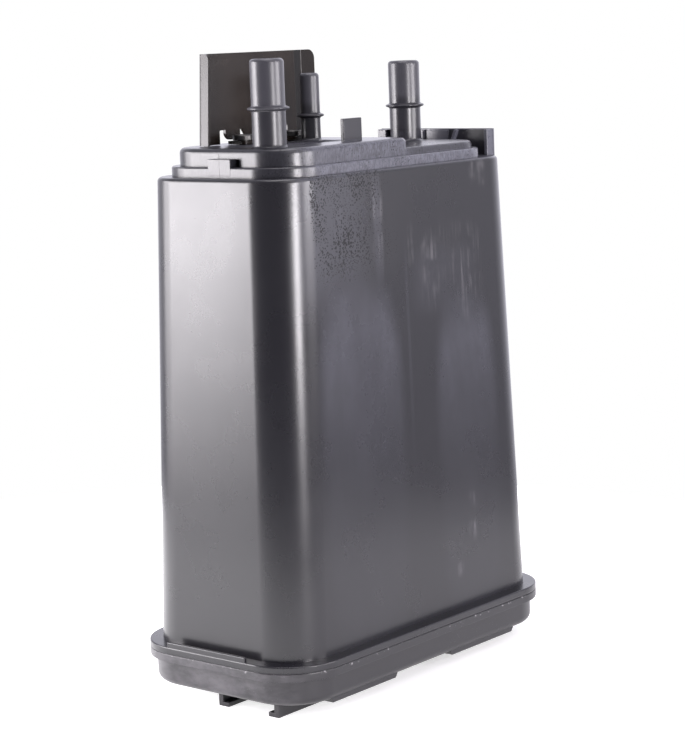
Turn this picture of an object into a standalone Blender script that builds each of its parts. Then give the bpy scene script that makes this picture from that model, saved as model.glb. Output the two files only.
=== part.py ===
"""A fuel-vapour canister: a drafted plastic case of activated carbon on a welded bottom cover, with three hose
stubs on its stepped deck and a folded steel bracket standing behind them.

The wide front faces -Y and the narrow side with the lip faces -X. Z = 0 is the plane that the rail feet stand on.
"""

import math

import bmesh
import bpy
from mathutils import Matrix

# Flange of the case; the plan sizes below are tied to it
FLANGE_HALF_X = 0.1043
FLANGE_HALF_Y = 0.0555
FLANGE_CORNER = 0.0284
FLANGE_THICKNESS = 0.0032
FLANGE_EDGE = 0.0005
WALL = 0.0025
JOINT_GAP = 0.0003

# Bottom cover, from the floor up
COVER_INSET = 0.0033
COVER_HALF_X = FLANGE_HALF_X - COVER_INSET
COVER_HALF_Y = FLANGE_HALF_Y - COVER_INSET
COVER_CORNER = FLANGE_CORNER - COVER_INSET
COVER_EDGE = 0.0040
COVER_HEIGHT = 0.0167
COVER_FLANGE_THICKNESS = 0.0041
PAD_DROP = 0.0018
PAD_LEFT_LENGTH = 0.0550
PAD_RIGHT_LENGTH = 0.0590
PAD_LEFT_INSET = 0.0220
PAD_RIGHT_INSET = 0.0280
PAD_SIDE_INSET = 0.0017
PAD_LEFT_START = PAD_LEFT_INSET - COVER_HALF_X
PAD_RIGHT_END = COVER_HALF_X - PAD_RIGHT_INSET
PAD_OUTER_Y = COVER_HALF_Y - PAD_SIDE_INSET
PAD_WIDTH = 0.0085
PAD_CHAMFER = 0.0040
RAIL_HEIGHT = 0.0073
RAIL_INSET = 0.0070
RAIL_HALF_X = COVER_HALF_X - RAIL_INSET
RAIL_FRONT_Y = -0.0329
RAIL_BACK_Y = 0.0049
RAIL_LEG = 0.0028
RAIL_FOOT_REACH = 0.0063
RAIL_FOOT_THICKNESS = 0.0022

# Case body, drafted from its foot to its shoulder
BODY_INSET = 0.0066
FOOT_HALF_X = FLANGE_HALF_X - BODY_INSET
FOOT_HALF_Y = FLANGE_HALF_Y - BODY_INSET
DRAFT_X = 0.0082
DRAFT_Y = 0.0035
SHOULDER_HALF_X = FOOT_HALF_X - DRAFT_X
SHOULDER_HALF_Y = FOOT_HALF_Y - DRAFT_Y
BODY_HEIGHT = 0.2228
BODY_CORNER = FLANGE_CORNER - BODY_INSET
BODY_CROWN = 0.0005
SHOULDER_EDGE = 0.0020

# Deck: a lower step all round, and an upper one that is high on the left and low on the right
LOWER_STEP = 0.0048
LOWER_LEFT_INSET = 0.0065
LOWER_RIGHT_INSET = 0.0115
LOWER_SIDE_INSET = 0.0034
LOWER_STEP_LEFT = LOWER_LEFT_INSET - SHOULDER_HALF_X
LOWER_STEP_RIGHT = SHOULDER_HALF_X - LOWER_RIGHT_INSET
LOWER_STEP_HALF_Y = SHOULDER_HALF_Y - LOWER_SIDE_INSET
LOWER_STEP_CORNER = BODY_CORNER
LOWER_STEP_EDGE = 0.0010
UPPER_LEFT_INSET = 0.0040
UPPER_RIGHT_INSET = 0.0020
UPPER_SIDE_INSET = 0.0030
UPPER_STEP_LEFT = LOWER_STEP_LEFT + UPPER_LEFT_INSET
UPPER_STEP_RIGHT = LOWER_STEP_RIGHT - UPPER_RIGHT_INSET
UPPER_STEP_HALF_Y = LOWER_STEP_HALF_Y - UPPER_SIDE_INSET
UPPER_STEP_CORNER = LOWER_STEP_CORNER - UPPER_RIGHT_INSET
UPPER_STEP_EDGE = 0.0025
HIGH_RISE = 0.0084
LOW_RISE = 0.0036
HIGH_SHARE = 0.6
HIGH_END_X = UPPER_STEP_LEFT + HIGH_SHARE * (UPPER_STEP_RIGHT - UPPER_STEP_LEFT)
HIGH_END_CORNER = 0.0080
LOW_INSET = 0.0004

# Hose stubs
MAIN_STUB_FROM_LEFT = 0.0115
MAIN_STUB_FROM_FRONT = 0.0200
VENT_STUB_FROM_RIGHT = 0.0110
PURGE_STUB_FROM_STEP = 0.0254
MAIN_STUB_X = UPPER_STEP_LEFT + MAIN_STUB_FROM_LEFT
MAIN_STUB_Y = MAIN_STUB_FROM_FRONT - UPPER_STEP_HALF_Y
VENT_STUB_X = UPPER_STEP_RIGHT - VENT_STUB_FROM_RIGHT
VENT_STUB_Y = 0.0048
PURGE_STUB_X = HIGH_END_X - PURGE_STUB_FROM_STEP
LARGE_RADIUS = 0.00795
LARGE_BEAD = 0.0098
LARGE_HEIGHT = 0.0407
LARGE_BEAD_AT = 0.0180
LARGE_BORE = 0.0059
SMALL_RADIUS = 0.00475
SMALL_BEAD = 0.0066
SMALL_HEIGHT = 0.0325
SMALL_BEAD_AT = 0.0120
SMALL_BORE = 0.00315
STUB_FILLET = 0.0013
STUB_TIP = 0.0014
BEAD_HALF_HEIGHT = 0.0017
BEAD_FLAT = 0.0003
BEAD_SLOPE = 0.0006

# Small features of the deck, the end channel and the lip
TAB_FROM_STEP = 0.0374
TAB_FROM_FRONT = 0.0120
TAB_LEFT = HIGH_END_X - TAB_FROM_STEP
TAB_LENGTH = 0.0138
TAB_FRONT_Y = TAB_FROM_FRONT - UPPER_STEP_HALF_Y
TAB_THICKNESS = 0.0020
TAB_HEIGHT = 0.0108
POST_LEFT_OF_STUB = 0.0040
POST_BEHIND_STUB = 0.0102
POST_X = VENT_STUB_X - POST_LEFT_OF_STUB
POST_Y = VENT_STUB_Y + POST_BEHIND_STUB
POST_SIDE = 0.0045
POST_HEIGHT = 0.0058
END_TAB_FRONT = -0.0078
END_TAB_BACK = 0.0063
END_TAB_HEIGHT = 0.0038
CHANNEL_INSET = 0.0055
CHANNEL_END_INSET = 0.0094
CHANNEL_FACE_X = SHOULDER_HALF_X - CHANNEL_INSET
CHANNEL_WALL = 0.0020
CHANNEL_HALF_Y = SHOULDER_HALF_Y - CHANNEL_END_INSET
CHANNEL_HEIGHT = 0.0134
CHANNEL_END_REACH = 0.0030
CHANNEL_FRONT_RIB_Y = -0.0110
CHANNEL_BACK_RIB_Y = 0.0076
LIP_FRONT = -0.0220
LIP_BACK = 0.0280
LIP_THICKNESS = 0.0020
LIP_HEIGHT = 0.0024

# Bracket and its screws
SHEET = 0.0016
BEND_INNER = 0.0010
PLATE_FROM_LEFT = 0.0148
PLATE_PAST_STEP = 0.0060
PLATE_FROM_BACK = 0.0134
PLATE_LEFT = UPPER_STEP_LEFT + PLATE_FROM_LEFT
PLATE_RIGHT = HIGH_END_X + PLATE_PAST_STEP
PLATE_FRONT_Y = UPPER_STEP_HALF_Y - PLATE_FROM_BACK
PLATE_HEIGHT = 0.0435
PLATE_CORNER = 0.0045
SIDE_FLANGE_REACH = 0.0053
SIDE_FLANGE_CORNER = 0.0030
WINDOW_FROM_LEFT = 0.0114
WINDOW_FROM_RIGHT = 0.0234
WINDOW_LEFT = PLATE_LEFT + WINDOW_FROM_LEFT
WINDOW_RIGHT = PLATE_RIGHT - WINDOW_FROM_RIGHT
WINDOW_HEIGHT = 0.0070
LEFT_SLOT = 0.0041
RIGHT_SLOT = 0.0026
TONGUE_WIDTH = 0.0104
TONGUE_TO_LEG = 0.0053
TONGUE_LEFT = WINDOW_LEFT + LEFT_SLOT
TONGUE_RIGHT = TONGUE_LEFT + TONGUE_WIDTH
TONGUE_CLEARANCE = 0.0022
TONGUE_CORNER = 0.0038
LEG_LEFT = TONGUE_RIGHT + TONGUE_TO_LEG
LEG_RIGHT = WINDOW_RIGHT - RIGHT_SLOT
LEG_SLANT = 0.0034
FOOT_END_INSET = 0.0012
FOOT_LEFT = WINDOW_LEFT + FOOT_END_INSET
FOOT_RIGHT = WINDOW_RIGHT - FOOT_END_INSET
FOOT_REACH = 0.0148
FOOT_WIDTH = 0.0118
FOOT_FRONT_Y = PLATE_FRONT_Y - FOOT_REACH
FOOT_BACK_Y = FOOT_FRONT_Y + FOOT_WIDTH
FOOT_CORNER = 0.0030
PURGE_STUB_FROM_FOOT = 0.0073
PURGE_STUB_Y = FOOT_FRONT_Y - PURGE_STUB_FROM_FOOT
SCREW_FROM_END = 0.0055
SCREW_FROM_FRONT = 0.0060
SCREW_X = (FOOT_LEFT + SCREW_FROM_END, FOOT_RIGHT - SCREW_FROM_END)
SCREW_Y = FOOT_FRONT_Y + SCREW_FROM_FRONT
SCREW_RADIUS = 0.0030
SCREW_HOLE = 0.0033
SCREW_LENGTH = 0.0127
HEAD_RADIUS = 0.0050
HEAD_HEIGHT = 0.0026
SOCKET_RADIUS = 0.0020
SOCKET_DEPTH = 0.0014
BOSS_RADIUS = 0.0056
BOSS_LENGTH = 0.0130

# Inner pieces
PARTITION_FROM_STEP = 0.0020
PARTITION_X = HIGH_END_X + PARTITION_FROM_STEP
FIT_GAP = 0.0004
GRID_THICKNESS = 0.0020
FILTER_THICKNESS = 0.0040
PLATE_THICKNESS = 0.0025
PLATE_LIFT = 0.0110
GRID_MARGIN = 0.0035
WINDOW_SIDE = 0.0110
WINDOW_PITCH = 0.0150
SPRING_RADIUS = 0.0105
SPRING_WIRE = 0.0008
SPRING_TURNS = 4
DEAD_TURNS = 0.75
SPRING_SEAT_HEIGHT = 0.0040
SPRING_INSET = 0.0297
VENT_SPRING_SHARE = 0.45
VENT_SPRING_Y = VENT_SPRING_SHARE * FOOT_HALF_Y
MAIN_SPRINGS = ((SPRING_INSET - FOOT_HALF_X, 0.0), (PARTITION_X - SPRING_INSET, 0.0))
VENT_SPRING_X = (PARTITION_X + FOOT_HALF_X) / 2
VENT_SPRINGS = ((VENT_SPRING_X, -VENT_SPRING_Y), (VENT_SPRING_X, VENT_SPRING_Y))

# Fineness
CORNER_STEPS = 10
SIDE_STEPS = 4
EDGE_STEPS = 4
STUB_STEPS = 40
OVERLAP = 0.0010

# Heights that follow
COVER_TOP_Z = RAIL_HEIGHT + COVER_HEIGHT
CASE_BASE_Z = COVER_TOP_Z + JOINT_GAP
FLANGE_TOP_Z = CASE_BASE_Z + FLANGE_THICKNESS
SHOULDER_Z = FLANGE_TOP_Z + BODY_HEIGHT
LOWER_STEP_Z = SHOULDER_Z + LOWER_STEP
HIGH_DECK_Z = LOWER_STEP_Z + HIGH_RISE
LOW_DECK_Z = LOWER_STEP_Z + LOW_RISE
COVER_FLOOR_Z = RAIL_HEIGHT + WALL
BRACKET_Z = HIGH_DECK_Z + JOINT_GAP
FOOT_TOP_Z = BRACKET_Z + SHEET
PLATE_BACK_Y = PLATE_FRONT_Y + SHEET
BEND_OUTER = BEND_INNER + SHEET
GRID_TOP_Z = SHOULDER_Z - WALL - JOINT_GAP
GRID_Z = GRID_TOP_Z - GRID_THICKNESS
TOP_FILTER_Z = GRID_Z - JOINT_GAP - FILTER_THICKNESS
BED_TOP_Z = TOP_FILTER_Z - JOINT_GAP
PRESSURE_PLATE_Z = CASE_BASE_Z + PLATE_LIFT
BOTTOM_FILTER_Z = PRESSURE_PLATE_Z + PLATE_THICKNESS + JOINT_GAP
BED_Z = BOTTOM_FILTER_Z + FILTER_THICKNESS + JOINT_GAP


def clear_scene():
    for obj in list(bpy.data.objects):
        bpy.data.objects.remove(obj)


def helper_collection():
    """Holds the shapes that Booleans join and cut with."""
    helpers = bpy.data.collections.new("helpers")
    helpers.hide_render = True
    bpy.context.scene.collection.children.link(helpers)
    return helpers


def piece(name, mesh):
    obj = bpy.data.objects.new(name, mesh)
    bpy.context.scene.collection.objects.link(obj)
    return obj


def as_helper(obj):
    bpy.context.scene.collection.objects.unlink(obj)
    bpy.data.collections["helpers"].objects.link(obj)
    obj.hide_render = True
    obj.display_type = "WIRE"
    return obj


def finish(obj, colour, roughness, metallic=0.0):
    material = bpy.data.materials.new(obj.name)
    material.use_nodes = True
    shader = material.node_tree.nodes["Principled BSDF"]
    shader.inputs["Base Color"].default_value = (*colour, 1.0)
    shader.inputs["Roughness"].default_value = roughness
    shader.inputs["Metallic"].default_value = metallic
    obj.data.materials.clear()
    obj.data.materials.append(material)
    return obj


def mesh_from(name, shape):
    mesh = bpy.data.meshes.new(name)
    shape.to_mesh(mesh)
    shape.free()
    return mesh


def boolean(target, tool, operation):
    modifier = target.modifiers.new(tool.name, "BOOLEAN")
    modifier.operation = operation
    modifier.solver = "EXACT"
    modifier.object = as_helper(tool)


def join(target, tool):
    boolean(target, tool, "UNION")


def cut(target, tool):
    boolean(target, tool, "DIFFERENCE")


def arc(centre, radius, start, end, steps):
    """Points on a circle from one angle to another, in degrees."""
    angles = [math.radians(start + (end - start) * i / steps) for i in range(steps + 1)]
    return [(centre[0] + radius * math.cos(a), centre[1] + radius * math.sin(a)) for a in angles]


def section(half_x, half_y, corner, z, crown=0.0, centre_x=0.0):
    """A rounded rectangle at height z, counter-clockwise, with each side bulged by the crown."""
    points = []
    for quarter in range(4):
        sign_x = (1, -1, -1, 1)[quarter]
        sign_y = (1, 1, -1, -1)[quarter]
        centre = (centre_x + sign_x * (half_x - corner), sign_y * (half_y - corner))
        points += arc(centre, corner, 90 * quarter, 90 * quarter + 90, CORNER_STEPS)
        end_x, end_y = points[-1]
        run_x = -2 * (half_x - corner) if quarter == 0 else 2 * (half_x - corner) if quarter == 2 else 0.0
        run_y = -2 * (half_y - corner) if quarter == 1 else 2 * (half_y - corner) if quarter == 3 else 0.0
        out_x = (0, -1, 0, 1)[quarter]
        out_y = (1, 0, -1, 0)[quarter]
        for step in range(1, SIDE_STEPS):
            along = step / SIDE_STEPS
            bulge = crown * 4 * along * (1 - along)
            points.append((end_x + run_x * along + out_x * bulge, end_y + run_y * along + out_y * bulge))
    return [(x, y, z) for x, y in points]


def loft(name, sections):
    """A closed solid through sections that are stacked upwards and have the same number of points."""
    shape = bmesh.new()
    rings = [[shape.verts.new(point) for point in ring] for ring in sections]
    for lower, upper in zip(rings, rings[1:]):
        for i in range(len(lower)):
            j = (i + 1) % len(lower)
            shape.faces.new((lower[i], lower[j], upper[j], upper[i]))
    shape.faces.new(tuple(reversed(rings[0])))
    shape.faces.new(tuple(rings[-1]))
    return piece(name, mesh_from(name, shape))


def slab(name, span_x, half_y, corner, base, top, edge):
    """A rounded rectangular block whose top edge is rounded."""
    half_x = (span_x[1] - span_x[0]) / 2
    centre_x = (span_x[1] + span_x[0]) / 2
    sections = [section(half_x, half_y, corner, base, centre_x=centre_x)]
    for step in range(EDGE_STEPS + 1):
        angle = math.pi / 2 * step / EDGE_STEPS
        inset = edge * (1 - math.cos(angle))
        z = top - edge * (1 - math.sin(angle))
        sections.append(section(half_x - inset, half_y - inset, corner - inset, z, centre_x=centre_x))
    return loft(name, sections)


def box(name, low, high):
    size = [b - a for a, b in zip(low, high)]
    middle = [(a + b) / 2 for a, b in zip(low, high)]
    shape = bmesh.new()
    bmesh.ops.create_cube(shape, size=1.0, matrix=Matrix.Translation(middle) @ Matrix.Diagonal((*size, 1.0)))
    return piece(name, mesh_from(name, shape))


def cylinder(name, xy, radius, base, top, steps=24):
    shape = bmesh.new()
    middle = Matrix.Translation((xy[0], xy[1], (base + top) / 2))
    bmesh.ops.create_cone(
        shape, cap_ends=True, segments=steps, radius1=radius, radius2=radius, depth=top - base, matrix=middle
    )
    return piece(name, mesh_from(name, shape))


def prism(name, outline, axis, low, high):
    """A counter-clockwise outline carried along an axis: (x, y) along Z, (x, z) along Y or (y, z) along X."""
    place = {
        "Z": lambda a, b, c: (a, b, c),
        "Y": lambda a, b, c: (a, c, b),
        "X": lambda a, b, c: (c, a, b),
    }[axis]
    ends = (high, low) if axis == "Y" else (low, high)
    return loft(name, [[place(a, b, c) for a, b in outline] for c in ends])


def turned(name, profile, xy, steps):
    """A profile of (radius, z) from the top of the axis down its outer side, turned about a vertical axis."""
    shape = bmesh.new()
    verts = [shape.verts.new((radius, 0.0, z)) for radius, z in profile]
    for upper, lower in zip(verts, verts[1:]):
        shape.edges.new((upper, lower))
    obj = piece(name, mesh_from(name, shape))
    obj.location = (xy[0], xy[1], 0.0)
    screw = obj.modifiers.new("turn", "SCREW")
    screw.axis = "Z"
    screw.steps = steps
    screw.render_steps = steps
    screw.use_merge_vertices = True
    screw.merge_threshold = 0.00001
    return obj


def body_section(z, inset=0.0):
    """The case's drafted section at height z, moved inwards by the inset."""
    up = (z - FLANGE_TOP_Z) / BODY_HEIGHT
    half_x = FOOT_HALF_X + up * (SHOULDER_HALF_X - FOOT_HALF_X) - inset
    half_y = FOOT_HALF_Y + up * (SHOULDER_HALF_Y - FOOT_HALF_Y) - inset
    return section(half_x, half_y, BODY_CORNER - inset, z, BODY_CROWN)


def case_outside():
    sections = [body_section(CASE_BASE_Z)]
    for step in range(EDGE_STEPS + 1):
        angle = math.pi / 2 * step / EDGE_STEPS
        z = SHOULDER_Z - SHOULDER_EDGE * (1 - math.sin(angle))
        sections.append(body_section(z, SHOULDER_EDGE * (1 - math.cos(angle))))
    return loft("canister_case", sections)


def flange(name, base, top):
    edge = FLANGE_EDGE
    return loft(
        name,
        [
            section(FLANGE_HALF_X - edge, FLANGE_HALF_Y - edge, FLANGE_CORNER - edge, base),
            section(FLANGE_HALF_X, FLANGE_HALF_Y, FLANGE_CORNER, base + edge),
            section(FLANGE_HALF_X, FLANGE_HALF_Y, FLANGE_CORNER, top - edge),
            section(FLANGE_HALF_X - edge, FLANGE_HALF_Y - edge, FLANGE_CORNER - edge, top),
        ],
    )


def stub(name, xy, deck, size):
    """A hose stub with a rounded tip, a bead that keeps the hose on, and a fillet at its root."""
    radius, bead_radius, height, bead_at, _ = size
    tip = deck + height
    bead = deck + bead_at
    profile = [(0.0, tip)]
    profile += arc((radius - STUB_TIP, tip - STUB_TIP), STUB_TIP, 90, 0, 3)
    profile += [
        (radius, bead + BEAD_HALF_HEIGHT),
        (bead_radius - BEAD_SLOPE, bead + BEAD_FLAT + BEAD_SLOPE),
        (bead_radius, bead + BEAD_FLAT),
        (bead_radius, bead - BEAD_FLAT),
        (bead_radius - BEAD_SLOPE, bead - BEAD_FLAT - BEAD_SLOPE),
        (radius, bead - BEAD_HALF_HEIGHT),
    ]
    profile += arc((radius + STUB_FILLET, deck + STUB_FILLET), STUB_FILLET, 180, 270, 3)
    profile += [(radius + STUB_FILLET, deck - OVERLAP), (0.0, deck - OVERLAP)]
    return turned(name, profile, xy, STUB_STEPS)


def bore(name, xy, deck, size):
    """The way through a stub and the deck under it, with a small lead-in at the tip."""
    radius = size[-1]
    tip = deck + size[2]
    lead = STUB_TIP / 2
    profile = [
        (0.0, tip + OVERLAP),
        (radius + lead + OVERLAP, tip + OVERLAP),
        (radius, tip - lead),
        (radius, deck - 2 * WALL),
        (0.0, deck - 2 * WALL),
    ]
    return turned(name, profile, xy, STUB_STEPS)


def add_deck(case):
    lower = (LOWER_STEP_LEFT, LOWER_STEP_RIGHT)
    base = SHOULDER_Z - OVERLAP
    step = slab("lower_step", lower, LOWER_STEP_HALF_Y, LOWER_STEP_CORNER, base, LOWER_STEP_Z, LOWER_STEP_EDGE)
    join(case, step)
    low = (UPPER_STEP_LEFT + UPPER_STEP_CORNER, UPPER_STEP_RIGHT)
    half_y = UPPER_STEP_HALF_Y - LOW_INSET
    edge = UPPER_STEP_EDGE - LOW_INSET
    join(case, slab("low_deck", low, half_y, UPPER_STEP_CORNER, SHOULDER_Z, LOW_DECK_Z, edge))
    span = (UPPER_STEP_LEFT, UPPER_STEP_RIGHT)
    half_y = UPPER_STEP_HALF_Y
    high = slab("high_deck", span, half_y, UPPER_STEP_CORNER, SHOULDER_Z, HIGH_DECK_Z, UPPER_STEP_EDGE)
    far = UPPER_STEP_RIGHT + OVERLAP
    reach = half_y + OVERLAP
    round_at = HIGH_END_X - HIGH_END_CORNER
    outline = [(far, -reach), (far, reach), (round_at, reach)]
    outline += arc((round_at, half_y - HIGH_END_CORNER), HIGH_END_CORNER, 90, 0, 6)
    outline += arc((round_at, HIGH_END_CORNER - half_y), HIGH_END_CORNER, 0, -90, 6)
    outline += [(round_at, -reach)]
    cut(high, prism("high_deck_end", outline, "Z", SHOULDER_Z - OVERLAP, HIGH_DECK_Z + OVERLAP))
    join(case, high)


def hollow_out(case):
    """Opens the case downwards and leaves one wall thickness under the steps."""
    base = CASE_BASE_Z - OVERLAP
    top = SHOULDER_Z - WALL
    cut(case, loft("case_hollow", [body_section(base, WALL), body_section(top, WALL)]))
    half_y = UPPER_STEP_HALF_Y - WALL
    corner = UPPER_STEP_CORNER - WALL
    span = (UPPER_STEP_LEFT + WALL, UPPER_STEP_RIGHT - WALL)
    cut(case, slab("low_hollow", span, half_y, corner, top - OVERLAP, LOW_DECK_Z - WALL, OVERLAP))
    high = slab("high_hollow", span, half_y - JOINT_GAP, corner - JOINT_GAP, top, HIGH_DECK_Z - WALL, OVERLAP)
    low = (HIGH_END_X - WALL, -half_y, top - OVERLAP)
    cut(high, box("high_hollow_end", low, (UPPER_STEP_RIGHT, half_y, HIGH_DECK_Z)))
    cut(case, high)


def add_partition(case):
    """The wall between the two chambers, which stops short of the cover so that vapour can pass under it."""
    ceiling = LOW_DECK_Z - WALL + OVERLAP
    wall = loft("partition", [body_section(CASE_BASE_Z, WALL / 2), body_section(SHOULDER_Z - WALL / 2, WALL / 2)])
    left = PARTITION_X - WALL / 2
    right = PARTITION_X + WALL / 2
    far = FLANGE_HALF_X
    low = CASE_BASE_Z - OVERLAP
    cut(wall, box("partition_left", (-far, -far, low), (left, far, ceiling + OVERLAP)))
    cut(wall, box("partition_right", (right, -far, low), (far, far, ceiling + OVERLAP)))
    join(case, wall)
    half_y = UPPER_STEP_HALF_Y - WALL / 2
    join(case, box("partition_top", (left, -half_y, SHOULDER_Z - 2 * WALL), (right, half_y, ceiling)))


def add_channel(case):
    """The upright wall along the right end, with its end wall and two ribs towards the deck."""
    face = CHANNEL_FACE_X
    base = SHOULDER_Z - OVERLAP
    top = SHOULDER_Z + CHANNEL_HEIGHT
    back = face + CHANNEL_WALL
    join(case, box("channel_wall", (face, -CHANNEL_HALF_Y, base), (back, CHANNEL_HALF_Y, top)))
    near = face - CHANNEL_END_REACH
    inner = face + OVERLAP
    for name, y in (("channel_front", -CHANNEL_HALF_Y), ("channel_back", CHANNEL_HALF_Y - CHANNEL_WALL)):
        join(case, box(name, (near, y, base - JOINT_GAP), (inner, y + CHANNEL_WALL, top - JOINT_GAP)))
    for number, y in enumerate((CHANNEL_FRONT_RIB_Y, CHANNEL_BACK_RIB_Y), 1):
        low = (near + OVERLAP, y - CHANNEL_WALL / 2, base - JOINT_GAP)
        high = (inner, y + CHANNEL_WALL / 2, top - 2 * JOINT_GAP)
        join(case, box(f"channel_rib_{number}", low, high))


def add_small_features(case):
    low = (TAB_LEFT, TAB_FRONT_Y, HIGH_DECK_Z - OVERLAP)
    high = (TAB_LEFT + TAB_LENGTH, TAB_FRONT_Y + TAB_THICKNESS, HIGH_DECK_Z + TAB_HEIGHT)
    join(case, box("tab", low, high))
    half = POST_SIDE / 2
    low = (POST_X - half, POST_Y - half, LOW_DECK_Z - OVERLAP)
    join(case, box("post", low, (POST_X + half, POST_Y + half, LOW_DECK_Z + POST_HEIGHT)))
    low = (LOWER_STEP_LEFT + JOINT_GAP, END_TAB_FRONT, LOWER_STEP_Z - OVERLAP)
    high = (UPPER_STEP_LEFT + OVERLAP, END_TAB_BACK, LOWER_STEP_Z + END_TAB_HEIGHT)
    join(case, box("end_tab", low, high))
    low = (JOINT_GAP - FLANGE_HALF_X, LIP_FRONT, FLANGE_TOP_Z - OVERLAP)
    high = (LIP_THICKNESS - FLANGE_HALF_X, LIP_BACK, FLANGE_TOP_Z + LIP_HEIGHT)
    join(case, box("lip", low, high))


def build_case():
    case = case_outside()
    join(case, flange("case_flange", CASE_BASE_Z, FLANGE_TOP_Z))
    add_deck(case)
    hollow_out(case)
    add_partition(case)
    add_channel(case)
    add_small_features(case)
    large = (LARGE_RADIUS, LARGE_BEAD, LARGE_HEIGHT, LARGE_BEAD_AT, LARGE_BORE)
    small = (SMALL_RADIUS, SMALL_BEAD, SMALL_HEIGHT, SMALL_BEAD_AT, SMALL_BORE)
    stubs = (
        ("main_stub", (MAIN_STUB_X, MAIN_STUB_Y), HIGH_DECK_Z, large),
        ("vent_stub", (VENT_STUB_X, VENT_STUB_Y), LOW_DECK_Z, large),
        ("purge_stub", (PURGE_STUB_X, PURGE_STUB_Y), HIGH_DECK_Z, small),
    )
    for name, xy, deck, size in stubs:
        join(case, stub(name, xy, deck, size))
        cut(case, bore(name + "_bore", xy, deck, size))
    for number, x in enumerate(SCREW_X, 1):
        place = (x, SCREW_Y)
        foot = HIGH_DECK_Z - BOSS_LENGTH
        join(case, cylinder(f"boss_{number}", place, BOSS_RADIUS, foot, HIGH_DECK_Z - WALL / 2))
        cut(case, cylinder(f"boss_hole_{number}", place, SCREW_HOLE, foot + WALL / 2, HIGH_DECK_Z + OVERLAP))
    return finish(case, (0.033, 0.033, 0.038), 0.32)


def add_pads(cover):
    """Strips along both long edges of the underside, with sloping ends."""
    low = RAIL_HEIGHT - PAD_DROP
    high = RAIL_HEIGHT + COVER_EDGE
    left = (PAD_LEFT_START, PAD_LEFT_START + PAD_LEFT_LENGTH)
    right = (PAD_RIGHT_END - PAD_RIGHT_LENGTH, PAD_RIGHT_END)
    for side in (-1, 1):
        inner_y, outer_y = sorted((side * (PAD_OUTER_Y - PAD_WIDTH), side * PAD_OUTER_Y))
        for number, (start, end) in enumerate((left, right), 1):
            outline = [
                (start + PAD_CHAMFER, low),
                (end - PAD_CHAMFER, low),
                (end, RAIL_HEIGHT),
                (end, high),
                (start, high),
                (start, RAIL_HEIGHT),
            ]
            where = "front" if side < 0 else "back"
            join(cover, prism(f"pad_{where}_{number}", outline, "Y", inner_y, outer_y))


def add_rails(cover):
    """Two L-shaped rails whose feet point at each other."""
    top = RAIL_HEIGHT + OVERLAP
    for name, outer, inward in (("front_rail", RAIL_FRONT_Y, 1), ("back_rail", RAIL_BACK_Y, -1)):
        leg = outer + inward * RAIL_LEG
        toe = outer + inward * RAIL_FOOT_REACH
        outline = [
            (outer, 0.0),
            (toe, 0.0),
            (toe, RAIL_FOOT_THICKNESS),
            (leg, RAIL_FOOT_THICKNESS),
            (leg, top),
            (outer, top),
        ]
        if inward < 0:
            outline.reverse()
        join(cover, prism(name, outline, "X", -RAIL_HALF_X, RAIL_HALF_X))


def build_cover():
    """A dish with a flange, standing on its rails; the springs stand in it around four low bosses."""
    sections = []
    for step in range(EDGE_STEPS + 1):
        angle = math.pi / 2 * step / EDGE_STEPS
        inset = COVER_EDGE * (1 - math.sin(angle))
        z = RAIL_HEIGHT + COVER_EDGE * (1 - math.cos(angle))
        sections.append(section(COVER_HALF_X - inset, COVER_HALF_Y - inset, COVER_CORNER - inset, z))
    sections.append(section(COVER_HALF_X, COVER_HALF_Y, COVER_CORNER, COVER_TOP_Z))
    cover = loft("bottom_cover", sections)
    join(cover, flange("cover_flange", COVER_TOP_Z - COVER_FLANGE_THICKNESS, COVER_TOP_Z))
    add_pads(cover)
    add_rails(cover)
    inner_x = COVER_HALF_X - WALL
    inner_y = COVER_HALF_Y - WALL
    inner_corner = COVER_CORNER - WALL
    hollow = [section(inner_x, inner_y, inner_corner, z) for z in (COVER_FLOOR_Z, COVER_TOP_Z + OVERLAP)]
    cut(cover, loft("cover_hollow", hollow))
    seat_radius = SPRING_RADIUS - SPRING_WIRE - JOINT_GAP
    for number, xy in enumerate(MAIN_SPRINGS + VENT_SPRINGS, 1):
        top = COVER_FLOOR_Z + SPRING_SEAT_HEIGHT
        join(cover, cylinder(f"spring_seat_{number}", xy, seat_radius, COVER_FLOOR_Z - OVERLAP, top))
    return finish(cover, (0.033, 0.033, 0.038), 0.34)


def plate_and_side_flange():
    """The upright sheet and the flange folded forwards along its left edge, as one bent section."""
    left, right = PLATE_LEFT, PLATE_RIGHT
    side_front = PLATE_FRONT_Y - SIDE_FLANGE_REACH
    bend = (left + BEND_OUTER, PLATE_FRONT_Y - BEND_INNER)
    outline = [(right, PLATE_FRONT_Y), (right, PLATE_BACK_Y)]
    outline += arc(bend, BEND_OUTER, 90, 180, 5)
    outline += [(left, side_front), (left + SHEET, side_front)]
    outline += arc(bend, BEND_INNER, 180, 90, 5)
    return prism("mounting_bracket", outline, "Z", BRACKET_Z, HIGH_DECK_Z + PLATE_HEIGHT)


def corner_cutter(name, axis, corner, radius, low, high):
    """What is left of a square outside an arc: rounds an upper corner. The sign of the radius gives its side."""
    size = abs(radius)
    side = math.copysign(1.0, radius)
    middle = (corner[0] - side * size, corner[1] - size)
    outline = arc(middle, size, 0 if side > 0 else 180, 90, 6)
    outline += [(middle[0], corner[1] + OVERLAP), (corner[0] + side * OVERLAP, corner[1] + OVERLAP)]
    outline += [(corner[0] + side * OVERLAP, middle[1])]
    if side > 0:
        outline.reverse()
    return prism(name, outline, axis, low, high)


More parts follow.
